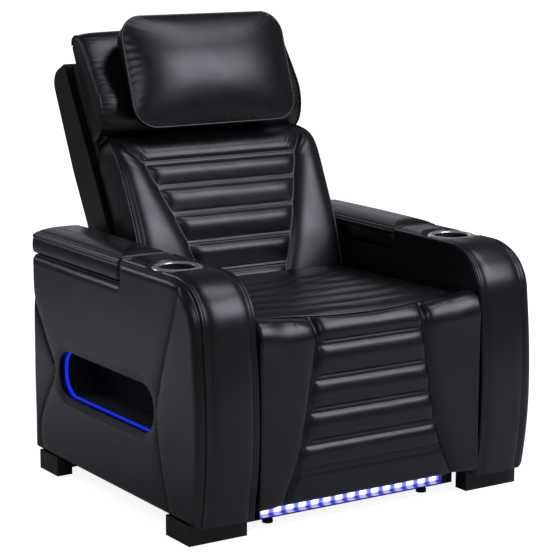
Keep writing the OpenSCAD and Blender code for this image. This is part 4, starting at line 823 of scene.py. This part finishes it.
def lumbar_half(s):
    """Half width of the lumbar cushion, with round upper corners of radius r."""
    r = 76
    level = LUMBAR_TOP - r
    a = np.clip(np.asarray(s, float) - level, 0, r)
    corner = (r - np.sqrt(np.clip(r ** 2 - a * a, 0, None))) * 0.85
    return 300 - 3.0 * np.sin(np.pi * np.clip(s, 0, level) / level) - corner


LUMBAR_CHANNELS = (332.0, 266.0, 192.0, 115.0, 40.0)


def channel_swell(s, channels, half_gap, d):
    """Swelling of the channel at a height: 1 - (2 u^1.6 - 1)^2 with u from 0 at its lower seam to 1 at its
    upper one, so that it is fullest above its middle. Outside the seams it rises as a parabola of the
    distance d."""
    rows = sorted(channels)
    for low, high in zip(rows[:-1], rows[1:]):
        if low + half_gap < s < high - half_gap:
            u = (s - low - half_gap) / (high - low - 2 * half_gap)
            return 1 - (2 * u ** 1.6 - 1) ** 2
    return 1 - (1 - np.clip(d / 33, 0, 1)) ** 2


def lumbar():
    """The lumbar cushion: rings round its sections, one for each height s. The middle panel swells between
    double cross seams, a bolster swells at each side, and the yoke above is gathered at the ends of its
    slanted seams."""
    half_gap, rear_n = 4.8, 16
    seam_line = [(118, 0), (227, 332), (262, 388), (284, 424)]
    heights = np.concatenate([np.linspace(0, 5, 4), np.linspace(8, 424, 210),
                              LUMBAR_TOP - 14 * (1 - np.sin(np.linspace(0.15, math.pi / 2, 12)))])
    k = np.linspace(-1, 1, 201)
    k = np.sign(k) * np.abs(k) ** 0.92
    rings, seams = [], []
    for s in heights:
        half, edge = float(lumbar_half(s)), float(lumbar_front(s))
        x = k * half
        ax = np.abs(x)
        to_seam = to_line(ax, np.full_like(ax, s), seam_line)
        beside = ax > np.interp(s, [p[1] for p in seam_line], [p[0] for p in seam_line])
        d, strip = channel_gap(s, LUMBAR_CHANNELS, half_gap)
        panel = 9.0 * channel_swell(s, LUMBAR_CHANNELS, half_gap, d) + 3.0 * (1 - np.exp(-d / 4))
        panel = panel * (1 - 0.5 * strip * (s < 345)) * (1 - np.exp(-to_seam / 11))
        h = np.where(beside, 19.0 * (1 - np.exp(-to_seam / 20)), panel)
        to_edge = half - ax
        gather = np.exp(-to_line(ax, np.full_like(ax, s), [(250, 370), (284, 424)]) / 22)
        h = h - 2.6 * gather * (0.5 + 0.5 * np.sin((ax - 0.8 * s) * 0.42 + 0.8 * np.sin(s * 0.1)))
        rim = 1 - np.exp(-to_edge / 15)
        ends = (1 - smooth(405, 436, s)) * smooth(0, 14, s)
        h = h * rim * ends + 1.0 * ripple(x * 1.1, s, 6.1) * rim * ends
        h = h - 2.6 * crease(to_edge - 9, 2.0) * ends
        side_t = np.linspace(edge, LUMBAR_REAR, 16)[1:]
        puff = 3.0 * np.sin(np.pi * (side_t - edge) / (LUMBAR_REAR - edge))
        rings.append(np.concatenate([
            on_back(x, edge - h, s), on_back(half - 2.0 + puff, side_t, s),
            on_back(np.linspace(half - 8, -(half - 8), rear_n), LUMBAR_REAR + 0.1, s),
            on_back(-(half - 2.0 + puff), side_t, s)[::-1]]))
        m = np.maximum(crease(to_seam, 2.2), crease(d, 1.7) * ~beside) * ends
        m = np.maximum(m, crease(to_edge - 9, 1.6))
        seams.append(np.concatenate([m, np.zeros(2 * len(side_t) + rear_n)]))
    obj = loft("lumbar", np.stack(rings), "back", SKIN, np.stack(seams))
    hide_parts("lumbar_cushion")
    s = np.linspace(4, 437, 160)
    over = np.linspace(1, -1, 120)[1:-1] * lumbar_half(437.0)
    right = on_back(lumbar_half(s) + 0.5, lumbar_front(s) - 0.5, s)
    left = on_back(-lumbar_half(s) - 0.5, lumbar_front(s) - 0.5, s)
    line = np.concatenate([right, on_back(over, 77.0, 437.5), left[::-1]])
    tube("lumbar_welt", relax(spaced(line, 4.0), 4), 2.9, "back", SKIN)


HEAD_FRONT = np.array([(427, 87), (428, 72), (431, 55), (438, 42), (449, 31), (464, 20), (481, 12),
                       (497, 7.5), (511, 4.5), (530, 5), (550, 8), (580, 13), (608, 18), (632, 22.5),
                       (654, 27), (674, 31.5), (691, 38), (700, 45), (705, 54), (706.5, 64), (705, 74),
                       (699, 80), (690, 83.5)])
HEAD_HALF = 302


def headrest():
    """The headrest cushion: closed side profiles (s, t) across x with flat, slightly swollen ends. Its face
    swells inward of the side welts, and is gathered there in short folds square to the welt."""
    step = 2.6
    base = HEAD_FRONT
    for _ in range(2):
        mid = 0.5 * (base[:-1] + base[1:])
        base = np.concatenate([np.stack([base[:-1], mid], 1).reshape(-1, 2), base[-1:]])
    base = spaced(relax(base, 4), step)
    way = unit(np.gradient(base, axis=0))
    normal = np.stack([way[:, 1], -way[:, 0]], -1)
    arc = np.arange(len(base)) * step
    back = np.array([[684, 84], [640, 84], [560, 84], [500, 84], [440, 86], [430, 87]])
    ends = smooth(0, 22, arc) * (1 - smooth(arc[-1] - 22, arc[-1], arc))
    rings, seams = [], []
    for x in columns(HEAD_HALF, 130):
        e = HEAD_HALF - abs(x)
        h = (8.5 * (1 - math.exp(-e / 26)) + 1.4 * ripple(x, base[:, 0], 8.8) * smooth(0, 60, e)) * ends
        reach = 9 + 15 * (0.5 + 0.5 * np.sin(arc * 0.11 + 1.3 + 2 * np.sin(arc * 0.037))) ** 2
        fold = np.exp(-e / reach) * smooth(0, 5, e)
        h = h - 2.6 * fold * (0.5 + 0.5 * np.sin(arc * 0.47 + 3.4 * np.sin(arc * 0.043) + 0.05 * e)) * ends
        loop = np.concatenate([base + normal * (h - side_drop(x, HEAD_HALF, 7))[:, None], back])
        rings.append(on_back(x, loop[:, 1], loop[:, 0]))
        seams.append(np.concatenate([np.full(len(base), float(crease(e - 4, 2))), np.zeros(len(back))]))
    obj = loft("headrest", np.stack(rings), "head", SKIN, np.stack(seams))
    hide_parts("headrest_cushion")
    for side, hand in SIDES:
        line = on_back(side * 300.5, base[:, 1], base[:, 0])
        tube(hand + "_headrest_welt", spaced(line, 4), 2.8, "head", SKIN)


def pillow():
    """The pillow: its outline, a rectangle with large round corners, shrunk in steps towards the middle,
    bulges to the front, and to the rear as far as the headrest, with short puckers that run in from the
    edge's welt."""
    half, s0, s1 = 240.0, 414.0, 702.0
    out = rounded(-half, half, s0, s1, 60, 0, per_corner=30, per_side=70)
    mid = np.array([0.0, (s0 + s1) / 2])

    def edge_plane(s):
        """Depth of the pillow's edge at a height, where its two faces meet."""
        return -42 - 26 * np.clip((s - 430) / 230, 0, 1.2)

    run = run_of(out)
    where = 0.5 + 0.5 * np.sin(run * 0.0123 + 0.8)
    rear, front = [], []
    for k in np.concatenate([1 - 0.5 * np.linspace(0, 1, 50) ** 1.8, np.linspace(0.49, 0.03, 34)]):
        p = mid + (out - mid) * k
        x, s = p.T
        away = (1 - k) * 150
        mark = np.full(len(p), float(crease(away - 2, 2.5)))
        fold = 1.5 * math.exp(-away / 14) * float(smooth(0, 5, away)) * where
        fold = fold * (0.5 + 0.5 * np.sin(run * 0.27 + 2.3 * np.sin(run * 0.019) + 0.05 * away))
        wave = 1.8 * ripple(x * 0.7, s * 0.7, 9.7) * (1 - k ** 4)
        dome = (1 - np.abs(x / half) ** 3.5) * (1 - ((s - mid[1]) / (0.5 * (s1 - s0))) ** 2)
        t = edge_plane(s) - 6 * (1 - math.exp(-away / 18)) - 38 * np.clip(dome, 0, 1) + fold - wave
        front.append((on_back(x, t, s), mark))
        full = math.sqrt(1 - math.exp(-away / 20))
        t = edge_plane(s) * (1 - full) + (3.2 + 0.18 * np.clip(s - 511, 0, None)) * full - 0.5
        rear.append((on_back(x, t, s), mark))
    rings, seams = zip(*front[::-1], *rear[1:])
    obj = loft("pillow_cover", np.array(rings), "head", SKIN, np.array(seams))
    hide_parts("pillow")
    line = on_back(out[:, 0], edge_plane(out[:, 1]), out[:, 1])
    tube("pillow_welt", spaced(line, 4, True), 2.6, "head", SKIN, True)


lumbar()
headrest()
pillow()


# ---------------------------------------------------------------- floor, light and camera

WHITE = (1, 1, 1)
COOL = (0.87, 0.89, 1.0)


def soft_light(name, place, size, power, target=(0, 0, 0.6)):
    """A square soft box of a cool white that looks at the chair, or at another target."""
    data = bpy.data.lights.new(name, "AREA")
    data.size, data.energy, data.color = size, power, COOL
    obj = bpy.data.objects.new(name, data)
    obj.location = place
    obj.rotation_euler = (Vector(target) - Vector(place)).to_track_quat("-Z", "Y").to_euler()
    bpy.context.scene.collection.objects.link(obj)


def pale_floor():
    """White paint. Seen by the camera it also glows a little, more so away from the chair, so that the floor
    runs into the white background and keeps the chair's soft shadow."""
    m, t, p = painted("Pale floor")
    far = node(t, "VectorMath", {0: node(t, "TexCoord").outputs["Object"]})
    far.operation = "LENGTH"
    glow = node(t, "MapRange", {"Value": far.outputs["Value"], "From Min": 0.6, "From Max": 2.4,
                                "To Min": 0.90, "To Max": 1.1}).outputs["Result"]
    seen = node(t, "LightPath").outputs["Is Camera Ray"]
    feed(t, p, {"Base Color": (0.58, 0.58, 0.58), "Roughness": 0.9, "Specular IOR Level": 0.0,
                "Emission Color": WHITE, "Emission Strength": calc(t, "MULTIPLY", glow, seen)})
    return m


def studio():
    """A white background for the camera, and a faint cool light from all round for everything else."""
    world = bpy.data.worlds.new("Studio")
    bpy.context.scene.world = world
    world.use_nodes = True
    tree = world.node_tree
    tree.nodes.clear()
    around = node(tree, "Background", {"Color": (0.93, 0.96, 1.0), "Strength": 0.10})
    seen = node(tree, "Background", {"Color": WHITE, "Strength": 1.0})
    pick = node(tree, "MixShader", {"Fac": node(tree, "LightPath").outputs["Is Camera Ray"],
                                    1: around.outputs[0], 2: seen.outputs[0]})
    node(tree, "OutputWorld", {"Surface": pick.outputs[0]})


ground = bpy.data.meshes.new("floor")
ground.from_pydata([(-20, -20, 0), (20, -20, 0), (20, 20, 0), (-20, 20, 0)], [], [(0, 1, 2, 3)])
ground.materials.append(pale_floor())
floor = bpy.data.objects.new("floor", ground)
bpy.context.scene.collection.objects.link(floor)
studio()

# name, place and width in metres, watts, and the point that it looks at where that isn't the chair
soft_light("key", (1.5, -2.5, 2.5), 1.8, 68)
soft_light("high", (1.3, -0.9, 3.9), 1.5, 30)
soft_light("left", (-2.2, -2.7, 2.4), 1.2, 16)
soft_light("side", (-1.5, 1.3, 1.3), 1.2, 15, (-1.5, 1.301, 0))
soft_light("behind", (1.6, 3.8, 1.6), 3.2, 17)

# the photograph's view, as solved from the arms' edges, the feet, the lids' ends and the cup rings
lens = bpy.data.cameras.new("camera")
lens.lens, lens.sensor_width = 128.9, 36.0
lens.shift_x, lens.shift_y = -0.015, 0.002
camera = bpy.data.objects.new("camera", lens)
camera.location = (-2.6717, -4.2083, 1.4739)
aim = (Vector((-0.0013, -0.1418, 0.5121)) - camera.location).to_track_quat("-Z", "Y")
camera.rotation_euler = aim.to_euler()
camera.rotation_euler.rotate_axis("Z", math.radians(0.2))
bpy.context.scene.collection.objects.link(camera)
bpy.context.scene.camera = camera
bpy.context.scene.view_settings.view_transform = "Standard"
